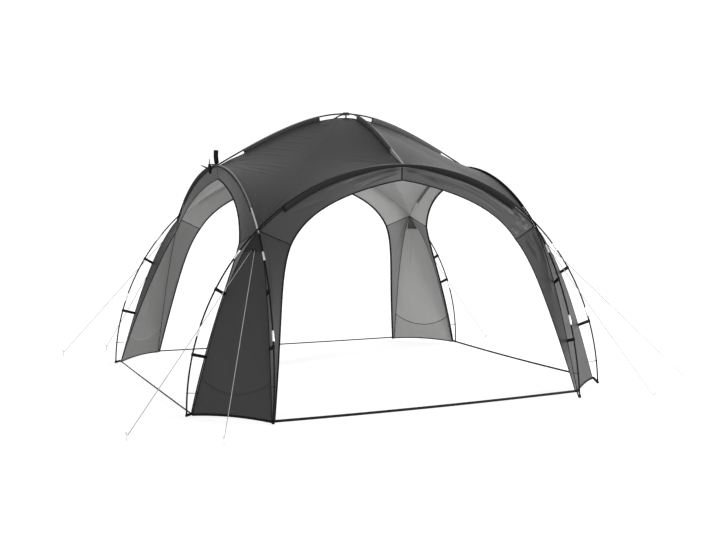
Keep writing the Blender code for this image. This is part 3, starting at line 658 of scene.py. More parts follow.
for count, corner in enumerate(CORNERS):
    lift = HEM_LIFT[corner]
    facing, beside = SIDES[count], SIDES[count - 1]
    wing = wing_surface(lift)
    for index, (side, surface) in enumerate(((facing, wing), (beside, swap(wing)))):
        pleats = [fan(80 + 2 * count + index, 5, (0.1, 0.0), (60.0, 85.0), 0.60, 0.012, 0.0022)]
        if (corner, side) in WING_FOLDS:
            pleats.append(np.array(WING_FOLDS[corner, side]))
        surface = folded(quarter_turn(surface, count), np.concatenate(pleats))
        cloth_panel(
            f"wing_cloth_{corner}_{side}", surface, f"wing_{corner}_{side}",
            WING_PAINTED_SHADING[corner])
    share, across = np.meshgrid(
        np.linspace(CORNER_TOP_SHARE, 1.0, LEG_ROWS + 1),
        np.linspace(0.0, 1.0, CORNER_COLUMNS + 1), indexing="ij")
    pleats = [fan(90 + count, 6, (0.5, 0.05), (60.0, 120.0), 0.80, 0.016, 0.0020)]
    if corner in CORNER_FOLDS:
        pleats.append(np.array(CORNER_FOLDS[corner]))
    surface = folded(quarter_turn(corner_points(across, share, lift), count), np.concatenate(pleats))
    flap = share > LOWER_SEAM_SHARE + LOWER_SEAM_DIP * 4.0 * across * (1.0 - across)
    # Painted shading of the long panel.
    cloth_panel(
        f"corner_cloth_{corner}", surface, f"corner_panel_{corner}",
        CORNER_PAINTED_SHADING[corner] - FLAP_TONE * flap)


# Arch and roof poles: black coated sections with bare silver ferrules where they join, and a painted highlight, drawn
# as part-bare metal, on the left arch and at the front roof pole's end.
# The four arches are bent from ground to ground and the four roof poles plug into a hub.
POLE_RADIUS = 0.0065
FERRULE_RADIUS = 0.0080
FERRULE_LENGTH = 0.075
UPPER_FERRULE_ANGLE = 40.7
LOWER_FERRULE_ANGLE = 18.5
# The painted highlight on the left arch runs from the crossing to this angle.
HIGHLIGHT_TO_ANGLE = 56.0
POLE_SIDES = 16
FOOT_HEIGHT = 0.0023
HUB_RADIUS = 0.030
HUB_ENTRY = 0.020
CONTACT_GAP = 0.0003
APEX_CLEARANCE = 0.0008


def normalised(vectors):
    """Vectors divided by their lengths."""
    return vectors / np.maximum(np.linalg.norm(vectors, axis=-1, keepdims=True), 1e-12)


def tube(name, rings, path, materials, marks=None):
    """Joins rings of points along a path by quads and closes both ends. Each ring's points
    carry the length along the path, and any other marks, as attributes."""
    count, sides = rings.shape[:2]
    index = np.arange(count * sides).reshape(count, sides)
    here, ahead = index[:-1], index[1:]
    quads = np.stack([here, np.roll(here, -1, axis=1), np.roll(ahead, -1, axis=1), ahead], axis=-1)
    faces = quads.reshape(-1, 4).tolist() + [index[0, ::-1].tolist(), index[-1].tolist()]
    item = mesh_object(name, rings.reshape(-1, 3), faces, materials)
    lengths = np.concatenate([[0.0], np.cumsum(np.linalg.norm(np.diff(path, axis=0), axis=1))])
    for key, value in {"along": lengths[:, None], **(marks or {})}.items():
        layer = item.data.attributes.new(key, "FLOAT", "POINT")
        layer.data.foreach_set("value", np.broadcast_to(value, (count, sides)).ravel().astype(np.float32))
    turning = np.cross(rings[:, 1] - rings[:, 0], np.gradient(path, axis=0))
    if np.sum(turning * (rings[:, 0] - rings.mean(axis=1))) < 0.0:
        item.data.flip_normals()
    return item


def frame_along(path, side):
    """Tangents of a path, the side direction squared to them, and up = tangent x side."""
    tangent = normalised(np.gradient(path, axis=0))
    side = np.broadcast_to(np.asarray(side, float), path.shape)
    side = normalised(side - tangent * np.sum(side * tangent, axis=-1, keepdims=True))
    return tangent, side, np.cross(tangent, side)


def sweep(name, path, profile, side, materials, marks=None):
    """Carries a profile along a path. Profile coordinates are (side, up) at each point."""
    path = np.asarray(path, float)
    tangent, side, up = frame_along(path, side)
    profile = np.asarray(profile, float)
    profile = np.broadcast_to(profile, (len(path),) + profile.shape[-2:])
    rings = path[:, None] + side[:, None] * profile[..., :1] + up[:, None] * profile[..., 1:]
    marks = {key: np.asarray(value, float)[:, None] for key, value in (marks or {}).items()}
    return tube(name, rings, path, materials, marks)


def round_profile(radii, sides=POLE_SIDES):
    """Circles of the given radii, one for each point of a path."""
    turns = np.arange(sides) * 2.0 * np.pi / sides
    circle = np.stack([np.cos(turns), np.sin(turns)], axis=-1)
    return np.atleast_1d(np.asarray(radii, float))[:, None, None] * circle


def pole_material():
    """Black coating worn to a dull shine, with bare turned aluminium on the ferrules. The same mark also paints a
    highlight, drawn as part-bare metal, where a pole shines.
    """
    material, tree, output = new_material("pole_finish")
    bare = node(tree, "ShaderNodeAttribute", {"attribute_name": "bare"}, output=2)
    place = node(tree, "ShaderNodeTexCoord", {}, output=3)
    grain = noise(tree, place, 220.0, 2.0, 0.6)
    scuffs = noise(tree, place, 14.0, 5.0, 0.7)
    coat = mix_colours(tree, scuffs, (0.002, 0.002, 0.0022, 1.0), (0.007, 0.007, 0.0075, 1.0))
    metal = mix_colours(tree, grain, (0.62, 0.62, 0.63, 1.0), (0.86, 0.86, 0.87, 1.0))
    colour = mix_colours(tree, bare, coat, metal)
    relief = node(tree, "ShaderNodeBump", {}, {"Strength": 0.15, "Distance": 0.0005, "Height": grain})
    body = node(tree, "ShaderNodeBsdfPrincipled", {}, {
        "Base Color": colour, "Metallic": bare, "Roughness": 0.40 + (scuffs - 0.5) * 0.2 - bare * 0.05,
        "Specular IOR Level": 0.06, "Normal": relief,
    })
    tree.links.new(body.socket, output.inputs["Surface"])
    return material


def roof_pole_axis(share, offset):
    """The roof pole's own line from the hub (0) to the arch (1), as its tube follows it."""
    apex = arch_points(90.0, offset)
    start = HUB_RADIUS + CONTACT_GAP
    end = -apex[1] - POLE_RADIUS - CONTACT_GAP - APEX_CLEARANCE
    reach = start + (end - start) * share
    height = roof_pole_height(reach) + (apex[2] - roof_pole_height(-apex[1])) * share
    entry = smooth_step((reach - start) / (2.0 * HUB_ENTRY))
    height = CROWN_HEIGHT + (height - CROWN_HEIGHT) * entry
    return np.stack([np.zeros_like(reach), -reach, height], axis=-1)


POLE_FINISH = pole_material()
ferrule_turn = math.degrees(FERRULE_LENGTH / ARCH_HALF_SPAN)
ferrules = [(LOWER_FERRULE_ANGLE, LOWER_FERRULE_ANGLE + ferrule_turn),
            (UPPER_FERRULE_ANGLE - ferrule_turn, UPPER_FERRULE_ANGLE)]
ferrules += [(180.0 - high, 180.0 - low) for low, high in ferrules]
lips = [edge + shift for pair in ferrules for edge in pair for shift in (-0.05, 0.05)]
for count, side in enumerate(SIDES):
    offset = CROSSING_OFFSET if count % 2 == 0 else -CROSSING_OFFSET
    foot_angle = math.degrees(math.asin(FOOT_HEIGHT / ARCH_RISE))
    angles = np.sort(np.concatenate([np.linspace(foot_angle, 180.0 - foot_angle, 181), lips]))
    bare = sum(((angles > low) & (angles < high)).astype(float) for low, high in ferrules)
    radii = POLE_RADIUS + (FERRULE_RADIUS - POLE_RADIUS) * bare
    path = quarter_turn(arch_points(angles, offset), count)
    out = quarter_turn(np.array([0.0, -1.0, 0.0]), count)
    # Painted highlight: part of the left arch beside the crossing is drawn partly as bare metal where it shines.
    if side == "left":
        bare = np.maximum(bare, 0.6 * ((angles > CROSSING - 1.0) & (angles < HIGHLIGHT_TO_ANGLE)))
    pole = sweep(f"arch_pole_tube_{side}", path, round_profile(radii), out, [POLE_FINISH], marks={"bare": bare})
    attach(pole, "root")
    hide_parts(f"arch_pole_{side}")

    share = np.linspace(0.0, 1.0, 61)
    path = quarter_turn(roof_pole_axis(share, offset), count)
    across = quarter_turn(np.array([1.0, 0.0, 0.0]), count)
    # Painted highlight: the outer end of the front roof pole is drawn half as bare metal where it shines.
    bare = 0.5 * (share > 0.80) * (side == "front")
    pole = sweep(
        f"roof_pole_tube_{side}", path, round_profile([POLE_RADIUS]), across, [POLE_FINISH], {"bare": bare})
    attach(pole, "root")
    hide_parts(f"roof_pole_{side}")


# Sleeves: strips of heavier black cloth folded round the poles and sewn to the canopy. On
# the arches the strip widens from the apex to its open end short of the crossing, and on
# the roof poles it is an upright fin with the roof seam along its lower edge.
SLEEVE_RADIUS = 0.0088
SLEEVE_END = 34.5
SLEEVE_WIDTH_AT_APEX = 0.002
SLEEVE_WIDTH = 0.031
SLEEVE_SPREAD_ANGLE = 16.0
RIB_SLEEVE_START = 0.195
RIB_SLEEVE_END = 0.80
# Painted highlight: a pale colour along the top of each sleeve where it catches the light, set per side and near the
# apexes.
PAINTED_HIGHLIGHT_COLOUR = (0.30, 0.30, 0.30)
EDGE_PAINTED_HIGHLIGHT = {"front": 0.0, "right": 0.15, "back": 0.0, "left": 0.50}


def webbing_material(name, colour, pitch=0.0022, roughness=0.70):
    """Black woven tape: ribs across its length and a slight fade, on Object coordinates.
    A highlight attribute paints it paler along the top of a sleeve where it catches the light."""
    material, tree, output = new_material(name)
    place = node(tree, "ShaderNodeTexCoord", {}, output=3)
    along = node(tree, "ShaderNodeAttribute", {"attribute_name": "along"}, output=2)
    worn = node(tree, "ShaderNodeAttribute", {"attribute_name": "worn"}, output=2)
    ribs = along.math("SINE", along * (2.0 * math.pi / pitch))
    fade = noise(tree, place, 9.0, 4.0, 0.6)
    dark = tuple(value * 0.75 for value in colour) + (1.0,)
    pale = tuple(value * 1.35 for value in colour) + (1.0,)
    tint = mix_colours(tree, worn, mix_colours(tree, fade, dark, pale), (*PAINTED_HIGHLIGHT_COLOUR, 1.0))
    relief = node(tree, "ShaderNodeBump", {}, {"Strength": 0.4, "Distance": 0.0004, "Height": ribs})
    body = node(tree, "ShaderNodeBsdfPrincipled", {}, {
        "Base Color": tint, "Roughness": (fade - 0.5) * 0.2 + roughness, "Specular IOR Level": 0.12,
        "Normal": relief,
    })
    tree.links.new(body.socket, output.inputs["Surface"])
    return material


SLEEVE_CLOTH = webbing_material("sleeve_cloth", (0.007, 0.007, 0.0075))
RIB_SLEEVE_CLOTH = webbing_material("rib_sleeve_cloth", (0.075, 0.075, 0.077))


for count, side in enumerate(SIDES):
    offset = CROSSING_OFFSET if count % 2 == 0 else -CROSSING_OFFSET
    angles = np.linspace(90.0 - SLEEVE_END, 90.0 + SLEEVE_END, 81)
    spread = smooth_step(np.abs(angles - 90.0) / SLEEVE_SPREAD_ANGLE)
    width = SLEEVE_WIDTH_AT_APEX + (SLEEVE_WIDTH - SLEEVE_WIDTH_AT_APEX) * spread
    pole, seam = arch_points(angles, offset), cloth_arch(angles)
    down = normalised(opening_top((90.0 - angles) / (90.0 - CROSSING)) - seam)
    tangent, out, up = frame_along(pole, np.array([0.0, -1.0, 0.0]))
    off_cloth = normalised(np.cross(down, tangent))
    off_cloth = off_cloth * np.sign(np.sum(off_cloth * out, axis=-1, keepdims=True))
    turns = np.radians(np.linspace(-20.0, 200.0, 13))[None, :, None]
    around = pole[:, None] + (out[:, None] * np.cos(turns) + up[:, None] * np.sin(turns)) * SLEEVE_RADIUS
    stitched = seam + down * width[:, None]
    rings = np.concatenate([
        around, (seam + up * 0.0016)[:, None], (stitched + off_cloth * 0.0006)[:, None],
        (stitched + off_cloth * 0.0022)[:, None]], axis=1)
    # Painted highlight along the top of the arch sleeve, set per side and strongest either side of the apex.
    worn = np.zeros(rings.shape[:2])
    worn[:, 3:8] = EDGE_PAINTED_HIGHLIGHT[side] + 0.4 * np.exp(-((np.abs(angles - 90.0) - 6.0) / 12.0) ** 2)[:, None]
    sleeve = tube(
        f"arch_sleeve_{side}", quarter_turn(rings, count), quarter_turn(pole, count), [SLEEVE_CLOTH],
        {"worn": worn})
    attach(sleeve, "root")

    share = np.linspace(RIB_SLEEVE_START, RIB_SLEEVE_END, 41)
    drop = HANG_UNDER_SLEEVE - 0.0004
    ring = np.stack([np.cos(turns[0, :, 0]), np.sin(turns[0, :, 0])], axis=-1) * SLEEVE_RADIUS
    fin = np.array([[-0.0022, -drop], [0.0022, -drop]])
    profile = np.concatenate([ring, fin])
    axis_line = roof_pole_axis(share, offset)
    tangent, beside, up = frame_along(axis_line, np.array([1.0, 0.0, 0.0]))
    rings = axis_line[:, None] + beside[:, None] * profile[:, :1] + up[:, None] * profile[:, 1:]
    # Painted highlight along the top of the rib sleeve.
    worn = np.zeros(rings.shape[:2])
    worn[:, 3:6] = 0.95
    sleeve = tube(
        f"roof_sleeve_{side}", quarter_turn(rings, count), quarter_turn(axis_line, count),
        [RIB_SLEEVE_CLOTH], {"worn": worn})
    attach(sleeve, "root")


# Seams and bindings: the panels are joined in felled seams, which show on both faces as a
# thin dark line, and every free edge is bound in black tape folded over it.
SEAM_RADIUS = 0.0032
BINDING_HALF_WIDTH = 0.0100
BINDING_HALF_THICKNESS = 0.0026
HEM_BINDING_RISE = 0.0050
LOWER_SEAM_INSET = 0.0012

SEAM_TAPE = webbing_material("seam_tape", (0.005, 0.005, 0.0055))
SEAM_INSIDE = webbing_material("seam_inside", (0.20, 0.20, 0.20))


def oval(half_side, half_up, sides=10):
    """An ellipse with the given half sizes."""
    turns = np.arange(sides) * 2.0 * np.pi / sides
    return np.stack([np.cos(turns) * half_side, np.sin(turns) * half_up], axis=-1)


def outward(points):
    """Directions away from the field's centre, across the thickness of the cloth."""
    return normalised(np.asarray(points, float) - FIELD_CENTRE)


def seam_line(name, path, half_thickness=SEAM_RADIUS, half_width=SEAM_RADIUS, lift=0.0, finish=SEAM_TAPE):
    """A closed oval tape along a seam, its thickness across the cloth."""
    middle = path + outward(path) * (lift - CLOTH_THICKNESS / 2.0)
    tape = sweep(name, middle, oval(half_thickness, half_width), outward(path), [finish])
    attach(tape, "root")
    return tape


for count, side in enumerate(SIDES):
    angles = np.linspace(CROSSING, 180.0 - CROSSING, 91)
    seam_line(f"arch_seam_{side}", quarter_turn(cloth_arch(angles), count), lift=SEAM_RADIUS)
    seam_line(
        f"arch_seam_inside_{side}", quarter_turn(cloth_arch(angles), count), 0.0016, 0.0024, -0.0018, SEAM_INSIDE)
    seam_line(f"roof_seam_{side}", quarter_turn(roof_seam(np.linspace(0.0, 1.0, 61)), count))
    apex_seam = np.linspace(cloth_arch(90.0), opening_top(0.0), 7)
    seam_line(f"apex_seam_{side}", quarter_turn(apex_seam, count), 0.0016, 0.0065)
    left, right_corner = CORNERS[count], CORNERS[(count + 1) % 4]
    down = np.linspace(1.0, 0.0, 61)
    left_leg = opening_leg(down, HEM_LIFT[left])
    right_leg = opening_leg(down[::-1], HEM_LIFT[right_corner]) * np.array([-1.0, 1.0, 1.0])
    top = opening_top(np.linspace(-1.0, 1.0, 121)[1:-1])
    edge = quarter_turn(np.concatenate([left_leg, top, right_leg]), count)
    seam_line(f"doorway_binding_{side}", edge, BINDING_HALF_THICKNESS, BINDING_HALF_WIDTH)
for count, corner in enumerate(CORNERS):
    lift = HEM_LIFT[corner]
    share = np.linspace(0.0, 1.0, 73)
    seam = corner_seam(share, lift)
    shoulder = np.linspace(cloth_arch(180.0 - CROSSING), opening_top(-1.0), 9)
    across = np.linspace(0.0, 1.0, 25)
    hem = corner_points(across, np.ones_like(across), lift) + np.array([0.0, 0.0, HEM_BINDING_RISE])
    dip = LOWER_SEAM_SHARE + LOWER_SEAM_DIP * 4.0 * across * (1.0 - across)
    lower = corner_points(across, dip, lift)
    lower = lower - outward(lower) * LOWER_SEAM_INSET
    seam_line(f"corner_seam_{corner}_{SIDES[count]}", quarter_turn(seam, count))
    seam_line(f"corner_seam_{corner}_{SIDES[count - 1]}", quarter_turn(swap(seam), count))
    seam_line(f"shoulder_seam_{corner}_{SIDES[count]}", quarter_turn(shoulder, count))
    seam_line(f"shoulder_seam_{corner}_{SIDES[count - 1]}", quarter_turn(swap(shoulder), count))
    seam_line(f"hem_binding_{corner}", quarter_turn(hem, count), BINDING_HALF_THICKNESS, BINDING_HALF_WIDTH)
    finish = SEAM_TAPE if corner == "back_right" else SEAM_INSIDE
    seam_line(f"lower_seam_{corner}", quarter_turn(lower, count), 0.0014, 0.0030, finish=finish)


# Webbing ties: short black straps sewn into the corner seams and folded round the leg
# poles, two on each leg, with a thin elastic cord near the ground.
TIE_HEIGHTS = {
    ("front_left", "front"): (0.935, 0.458, 0.176), ("front_left", "left"): (0.940, 0.548, 0.268),
    ("front_right", "front"): (1.006, 0.544, 0.200), ("front_right", "right"): (0.945, 0.471, 0.200),
    ("back_right", "back"): (0.941, 0.686, 0.200), ("back_right", "right"): (0.941, 0.560, 0.200),
    ("back_left", "back"): (0.988, 0.503, 0.200), ("back_left", "left"): (0.940, 0.500, 0.200),
}
TIE_WIDTH = 0.024
TIE_THICKNESS = 0.0016
TIE_SHIFT = 0.0040
TIE_LOOP_RADIUS = 0.0092
CORD_RADIUS = 0.0016

TIE_WEBBING = webbing_material("tie_webbing", (0.006, 0.006, 0.0065))


def leg_point(height, offset):
    """The left leg of an arch pole at a height, with the tangent up the pole."""
    angle = 180.0 - math.degrees(math.asin(height / (ARCH_RISE + offset)))
    place, higher = arch_points([angle, angle - 0.5], offset)
    return place, normalised(higher - place)


for count, corner in enumerate(CORNERS):
    lift = HEM_LIFT[corner]
    seam = corner_seam(np.linspace(0.0, 1.0, 4001), lift)
    for mirrored in (False, True):
        offset = CROSSING_OFFSET if (count + (0 if mirrored else 1)) % 2 == 0 else -CROSSING_OFFSET
        side = SIDES[count] if mirrored else SIDES[count - 1]
        for index, height in enumerate(TIE_HEIGHTS[corner, side]):
            pole, tangent = leg_point(height, offset)
            pole, tangent = swap(pole), swap(tangent)
            line = seam
            if mirrored:
                pole, tangent = swap(pole), swap(tangent)
                line = swap(seam)
            root = line[np.argmin(np.abs((line - pole) @ tangent))]
            toward_panel = normalised(swap(root) - root) * TIE_SHIFT
            run = pole - root
            run = normalised(run - tangent * (run @ tangent))
            aside = np.cross(tangent, run)
            start = root + toward_panel
            turns = np.radians(np.linspace(90.0, -90.0, 13))[:, None]
            loop = pole + (run * np.cos(turns) + aside * np.sin(turns)) * TIE_LOOP_RADIUS
            if index < 2:
                path = np.concatenate([[start + aside * 0.0012], loop, [start - aside * 0.0012]])
                profile = np.array([
                    [-TIE_WIDTH, -TIE_THICKNESS], [TIE_WIDTH, -TIE_THICKNESS],
                    [TIE_WIDTH, TIE_THICKNESS], [-TIE_WIDTH, TIE_THICKNESS]]) / 2.0
                name = f"tie_{corner}_{side}_{index + 1}"
                tie = sweep(name, quarter_turn(path, count), profile, quarter_turn(tangent, count), [TIE_WEBBING])
            else:
                path = np.concatenate([[start], loop, [start]])
                tie = sweep(
                    f"foot_cord_{corner}_{side}", quarter_turn(path, count), round_profile([CORD_RADIUS], 8),
                    quarter_turn(tangent, count), [TIE_WEBBING])
            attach(tie, "root")


# Corner patches: a triangle of black cloth sewn over the top of each corner panel, where
# the guy lines pull, and a smaller dark sheet inside behind it: painted shade, for the patch's shadow seen through the
# cloth.
PATCH_BOTTOM_SHARE = 0.115
PATCH_LIFT = 0.0018
SHADE_SHEET_BOTTOM_SHARE = 0.100

PATCH_CLOTH = webbing_material("patch_cloth", (0.024, 0.024, 0.025))
# Painted shade: a dark sheet inside the cloth where the patch's shadow shows through.
PATCH_SHADE_SHEET = webbing_material("patch_shade_sheet", (0.055, 0.055, 0.056))
for count, corner in enumerate(CORNERS):
    for name, bottom, sign, finish in (
        (f"patch_{corner}", PATCH_BOTTOM_SHARE, 1.0, PATCH_CLOTH),
        (f"patch_shade_sheet_{corner}", SHADE_SHEET_BOTTOM_SHARE, -1.0, PATCH_SHADE_SHEET),
    ):
        margin = 0.03 if sign > 0.0 else 0.14
        share, across = np.meshgrid(
            np.linspace(0.004, bottom, 13), np.linspace(margin, 1.0 - margin, 9), indexing="ij")
        surface = corner_points(across, share, HEM_LIFT[corner])
        lift = PATCH_LIFT if sign > 0.0 else PATCH_LIFT + CLOTH_THICKNESS
        surface = quarter_turn(surface + outward(surface) * lift * sign, count)
        faces = grid_faces(*surface.shape[:2])
        flat_points = surface.reshape(-1, 3)
        ends = flat_points[faces]
        facing = np.cross(ends[:, 1] - ends[:, 0], ends[:, 3] - ends[:, 0])
        if sign * np.sum(facing * outward(ends.mean(axis=1))) < 0.0:
            faces = faces[:, ::-1]
        patch = mesh_object(name, flat_points, faces.tolist(), [finish])
        shell = patch.modifiers.new("thickness", "SOLIDIFY")
        shell.thickness = PATCH_LIFT - 0.0004
        shell.offset = -1.0
        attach(patch, "root")
        if sign > 0.0:
            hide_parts(f"corner_patch_{corner}")


# Guy lines and pegs: two taut braided cords leave a toggle on each patch and run down to
# wire pegs.
GUY_RADIUS = 0.0027
TOGGLE_LENGTH = 0.040
TOGGLE_RADIUS = 0.004
LINE_SPACING_SHARE = 0.6
TOGGLE_SHARE_ABOVE_HEM = 0.012
PATCH_SEAT = 0.0068
PEG_PLACES = {
    "front_left": ((-2.37, -1.90), (-1.80, -2.26)),
    "front_right": ((1.80, -2.09), (2.37, -1.90)),
    "back_right": ((2.20, 1.35), (1.55, 2.26)),
    "back_left": ((-1.73, 2.16), (-2.19, 1.95)),
}
GUY_HEIGHT_AT_PEG = 0.030


def braid_material():
    """Light grey braided cord: ribs of strands around it, repeating along its length, in its relief."""
    material, tree, output = new_material("guy_line_braid")
    along = node(tree, "ShaderNodeAttribute", {"attribute_name": "along"}, output=2)
    place = node(tree, "ShaderNodeTexCoord", {}, output=3)
    strands = along.math("SINE", along * (2.0 * math.pi / 0.003))
    grime = noise(tree, place, 12.0, 3.0, 0.6)
    tint = mix_colours(tree, grime, (0.16, 0.16, 0.165, 1.0), (0.30, 0.30, 0.30, 1.0))
    relief = node(tree, "ShaderNodeBump", {}, {"Strength": 0.5, "Distance": 0.0004, "Height": strands})
    body = node(tree, "ShaderNodeBsdfPrincipled", {}, {
        "Base Color": tint, "Roughness": (grime - 0.5) * 0.2 + 0.7, "Normal": relief})
    tree.links.new(body.socket, output.inputs["Surface"])
    return material


GUY_BRAID = braid_material()
for count, corner in enumerate(CORNERS):
    across, share = np.array([0.5]), np.array([PATCH_BOTTOM_SHARE - TOGGLE_SHARE_ABOVE_HEM])
    seat = corner_points(across, share, HEM_LIFT[corner])
    centre = quarter_turn(seat + outward(seat) * PATCH_SEAT, count)[0]
    along_toggle = quarter_turn(normalised(np.array([1.0, -1.0, 0.0])), count)
    half = along_toggle * TOGGLE_LENGTH / 2.0
    upwards = np.array([0.0, 0.0, 1.0])
    toggle = sweep(
        f"guy_toggle_{corner}", np.linspace(centre - half, centre + half, 9),
        round_profile(TOGGLE_RADIUS * (1.0 - 0.35 * np.cos(np.linspace(0.0, np.pi * 4.0, 9)) ** 2), 12),
        upwards, [POLE_FINISH], marks={"bare": np.zeros(9)})
    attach(toggle, "root")
    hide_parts(f"guy_lines_{corner}")
    for index, place in enumerate(PEG_PLACES[corner]):
        start = centre + half * LINE_SPACING_SHARE * (2 * index - 1)
        end = np.array([*place, GUY_HEIGHT_AT_PEG])
        run = normalised(end - start)
        path = np.linspace(start, end - run * 0.008, 25)
        line = sweep(f"guy_line_{corner}_{index + 1}", path, round_profile([GUY_RADIUS], 8), upwards, [GUY_BRAID])
        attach(line, "root")


# Ground straps: flat webbing from corner to corner that keeps the legs from spreading,
# with a loop of the same webbing from each hem round the foot of its pole.
STRAP_HEIGHT = 0.020
STRAP_THICKNESS = 0.0030
SIDE_STRAP_HEIGHT = {"front": 0.020, "right": 0.016, "back": 0.012, "left": 0.012}

for count, side in enumerate(SIDES):
    offset = CROSSING_OFFSET if (count + 1) % 2 == 0 else -CROSSING_OFFSET
    left, right_corner = CORNERS[count], CORNERS[(count + 1) % 4]
    line = -(EDGE_DEPTH_AT_FOOT + CONTACT_GAP + STRAP_THICKNESS / 2.0)
    reach = ARCH_PLANE_AT_FOOT + offset
    share = np.linspace(0.0, 1.0, 41)
    height = HEM_LIFT[left] + (HEM_LIFT[right_corner] - HEM_LIFT[left]) * share
    sag = 0.25 * (height.max() - 0.0) * 4.0 * share * (1.0 - share)
    height = np.maximum(height - sag, 0.0) + STRAP_HEIGHT / 2.0
    path = np.stack([(share * 2.0 - 1.0) * reach, np.full_like(share, line), height], axis=-1)
    wide = SIDE_STRAP_HEIGHT[side] / 2.0
    profile = np.array([
        [-STRAP_THICKNESS / 2.0, -wide], [STRAP_THICKNESS / 2.0, -wide],
        [STRAP_THICKNESS / 2.0, wide], [-STRAP_THICKNESS / 2.0, wide]])
    out = quarter_turn(np.array([0.0, 1.0, 0.0]), count)
    strap = sweep(f"strap_{side}", quarter_turn(path, count), profile, out, [TIE_WEBBING])
    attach(strap, "root")
    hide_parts(f"ground_strap_{side}")
    for corner, sign in ((left, -1.0), (right_corner, 1.0)):
        foot = np.array([sign * reach, -(ARCH_HALF_SPAN + offset), 0.004])
        hem = np.array([sign * SEAM_FOOT_HALF, line, HEM_LIFT[corner] + 0.012])
        turns = np.radians(np.linspace(0.0, 180.0, 13))[:, None]
        loop = foot + (np.array([sign, 0.0, 0.0]) * np.cos(turns) + np.array([0.0, -1.0, 0.0]) * np.sin(turns)) * 0.010
        path = np.concatenate([[hem + [sign * 0.008, 0.0, 0.0]], loop + [0.0, 0.0, 0.008], [hem - [sign * 0.008, 0.0, 0.0]]])
        profile = np.array([[-0.008, -0.001], [0.008, -0.001], [0.008, 0.001], [-0.008, 0.001]])
        foot_loop = sweep(
            f"foot_loop_{side}_{corner}", quarter_turn(path, count), profile,
            quarter_turn(np.array([0.0, 0.0, 1.0]), count), [TIE_WEBBING])
        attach(foot_loop, "root")


# Crown hub, pegs and the loose tab: moulded black plastic, steel wire, and the end of a
# storage strap that stands up beside the left apex.
def plastic_material():
    """Black moulded plastic with a fine spark-eroded grain."""
    material, tree, output = new_material("hub_plastic_moulded")
    place = node(tree, "ShaderNodeTexCoord", {}, output=3)
    grain = noise(tree, place, 900.0, 2.0, 0.5)
    wear = noise(tree, place, 40.0, 4.0, 0.6)
    tint = mix_colours(tree, wear, (0.012, 0.012, 0.013, 1.0), (0.028, 0.028, 0.030, 1.0))
    relief = node(tree, "ShaderNodeBump", {}, {"Strength": 0.3, "Distance": 0.0003, "Height": grain})
    body = node(tree, "ShaderNodeBsdfPrincipled", {}, {
        "Base Color": tint, "Roughness": (wear - 0.5) * 0.2 + 0.5, "Normal": relief})
    tree.links.new(body.socket, output.inputs["Surface"])
    return material


def steel_material():
    """Drawn steel wire, dulled by soil towards the ground."""
    material, tree, output = new_material("peg_wire")
    place = node(tree, "ShaderNodeTexCoord", {}, output=3)
    parts = tree.nodes.new("ShaderNodeSeparateXYZ")
    tree.links.new(place.socket, parts.inputs[0])
    height = Wire(tree, parts.outputs[2])
    soil = noise(tree, place, 90.0, 4.0, 0.7)
    low = height.math("SUBTRACT", 1.0, height * 40.0, clamp=True)
    tint = mix_colours(tree, soil * low, (0.58, 0.58, 0.59, 1.0), (0.20, 0.17, 0.14, 1.0))
    body = node(tree, "ShaderNodeBsdfPrincipled", {}, {
        "Base Color": tint, "Metallic": 1.0 - low * 0.5, "Roughness": soil * 0.25 + 0.22})
    tree.links.new(body.socket, output.inputs["Surface"])
    return material


HUB_PLASTIC = plastic_material()
PEG_WIRE = steel_material()
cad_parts["crown_hub"].data.materials[0] = HUB_PLASTIC
for corner in CORNERS:
    for index in (1, 2):
        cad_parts[f"peg_{corner}_{index}"].data.materials[0] = PEG_WIRE

apex = swap(arch_points(90.0, -CROSSING_OFFSET))
share = np.linspace(0.0, 1.0, 15)
tab_path = apex + np.stack([
    -0.012 * share - 0.006 * np.sin(np.pi * share), -0.028 - 0.012 * share, 0.007 + 0.125 * share], axis=-1)
profile = np.array([[-0.021, -0.002], [0.021, -0.002], [0.021, 0.002], [-0.021, 0.002]])
twist = np.radians(10.0 + 80.0 * smooth_step(1.0 - share * 8.0))
across = np.stack([np.cos(twist), np.sin(twist), np.zeros_like(twist)], axis=-1)
tab = sweep("storage_tab_left", tab_path, profile, across, [TIE_WEBBING])
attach(tab, "root")
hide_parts("apex_tab_left")

beside = np.array([-0.447, 0.894, 0.0])
root = tab_path[0] + np.array([0.0, 0.030, 0.004])
bar_end = root + beside * 0.085
hanging = (
    ("storage_bar_left", (root, bar_end), (0.0055, 0.0050)),
    ("storage_hook_left", (bar_end - [0.0, 0.0, 0.010], bar_end + [0.0, 0.0, 0.048]), (0.0060, 0.0030)),
    ("storage_tail_left", (bar_end - [0.0, 0.0, 0.040], bar_end + beside * 0.105 - [0.0, 0.0, 0.006]), (0.0100, 0.0030)),
)
for name, (start, end), (thick, thin) in hanging:
    path = np.linspace(start, end, 9)
    piece = sweep(name, path, round_profile(np.linspace(thick, thin, 9), 10), np.array([0.3, -0.9, 0.2]), [TIE_WEBBING])
    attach(piece, "root")
    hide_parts("apex_tab_left")
path = np.linspace(bar_end + [0.0, 0.0, 0.004], bar_end - beside * 0.010 - [0.0, 0.0, 0.078], 13)
swell = 0.35 + 0.65 * np.sin(np.pi * np.linspace(0.12, 0.92, 13))
turns = np.arange(12) * 2.0 * np.pi / 12.0
bundle_profile = np.stack([np.cos(turns) * 0.022, np.sin(turns) * 0.012], axis=-1) * swell[:, None, None]
bundle = sweep("storage_bundle_left", path, bundle_profile, beside, [TIE_WEBBING])
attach(bundle, "root")
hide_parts("apex_tab_left")


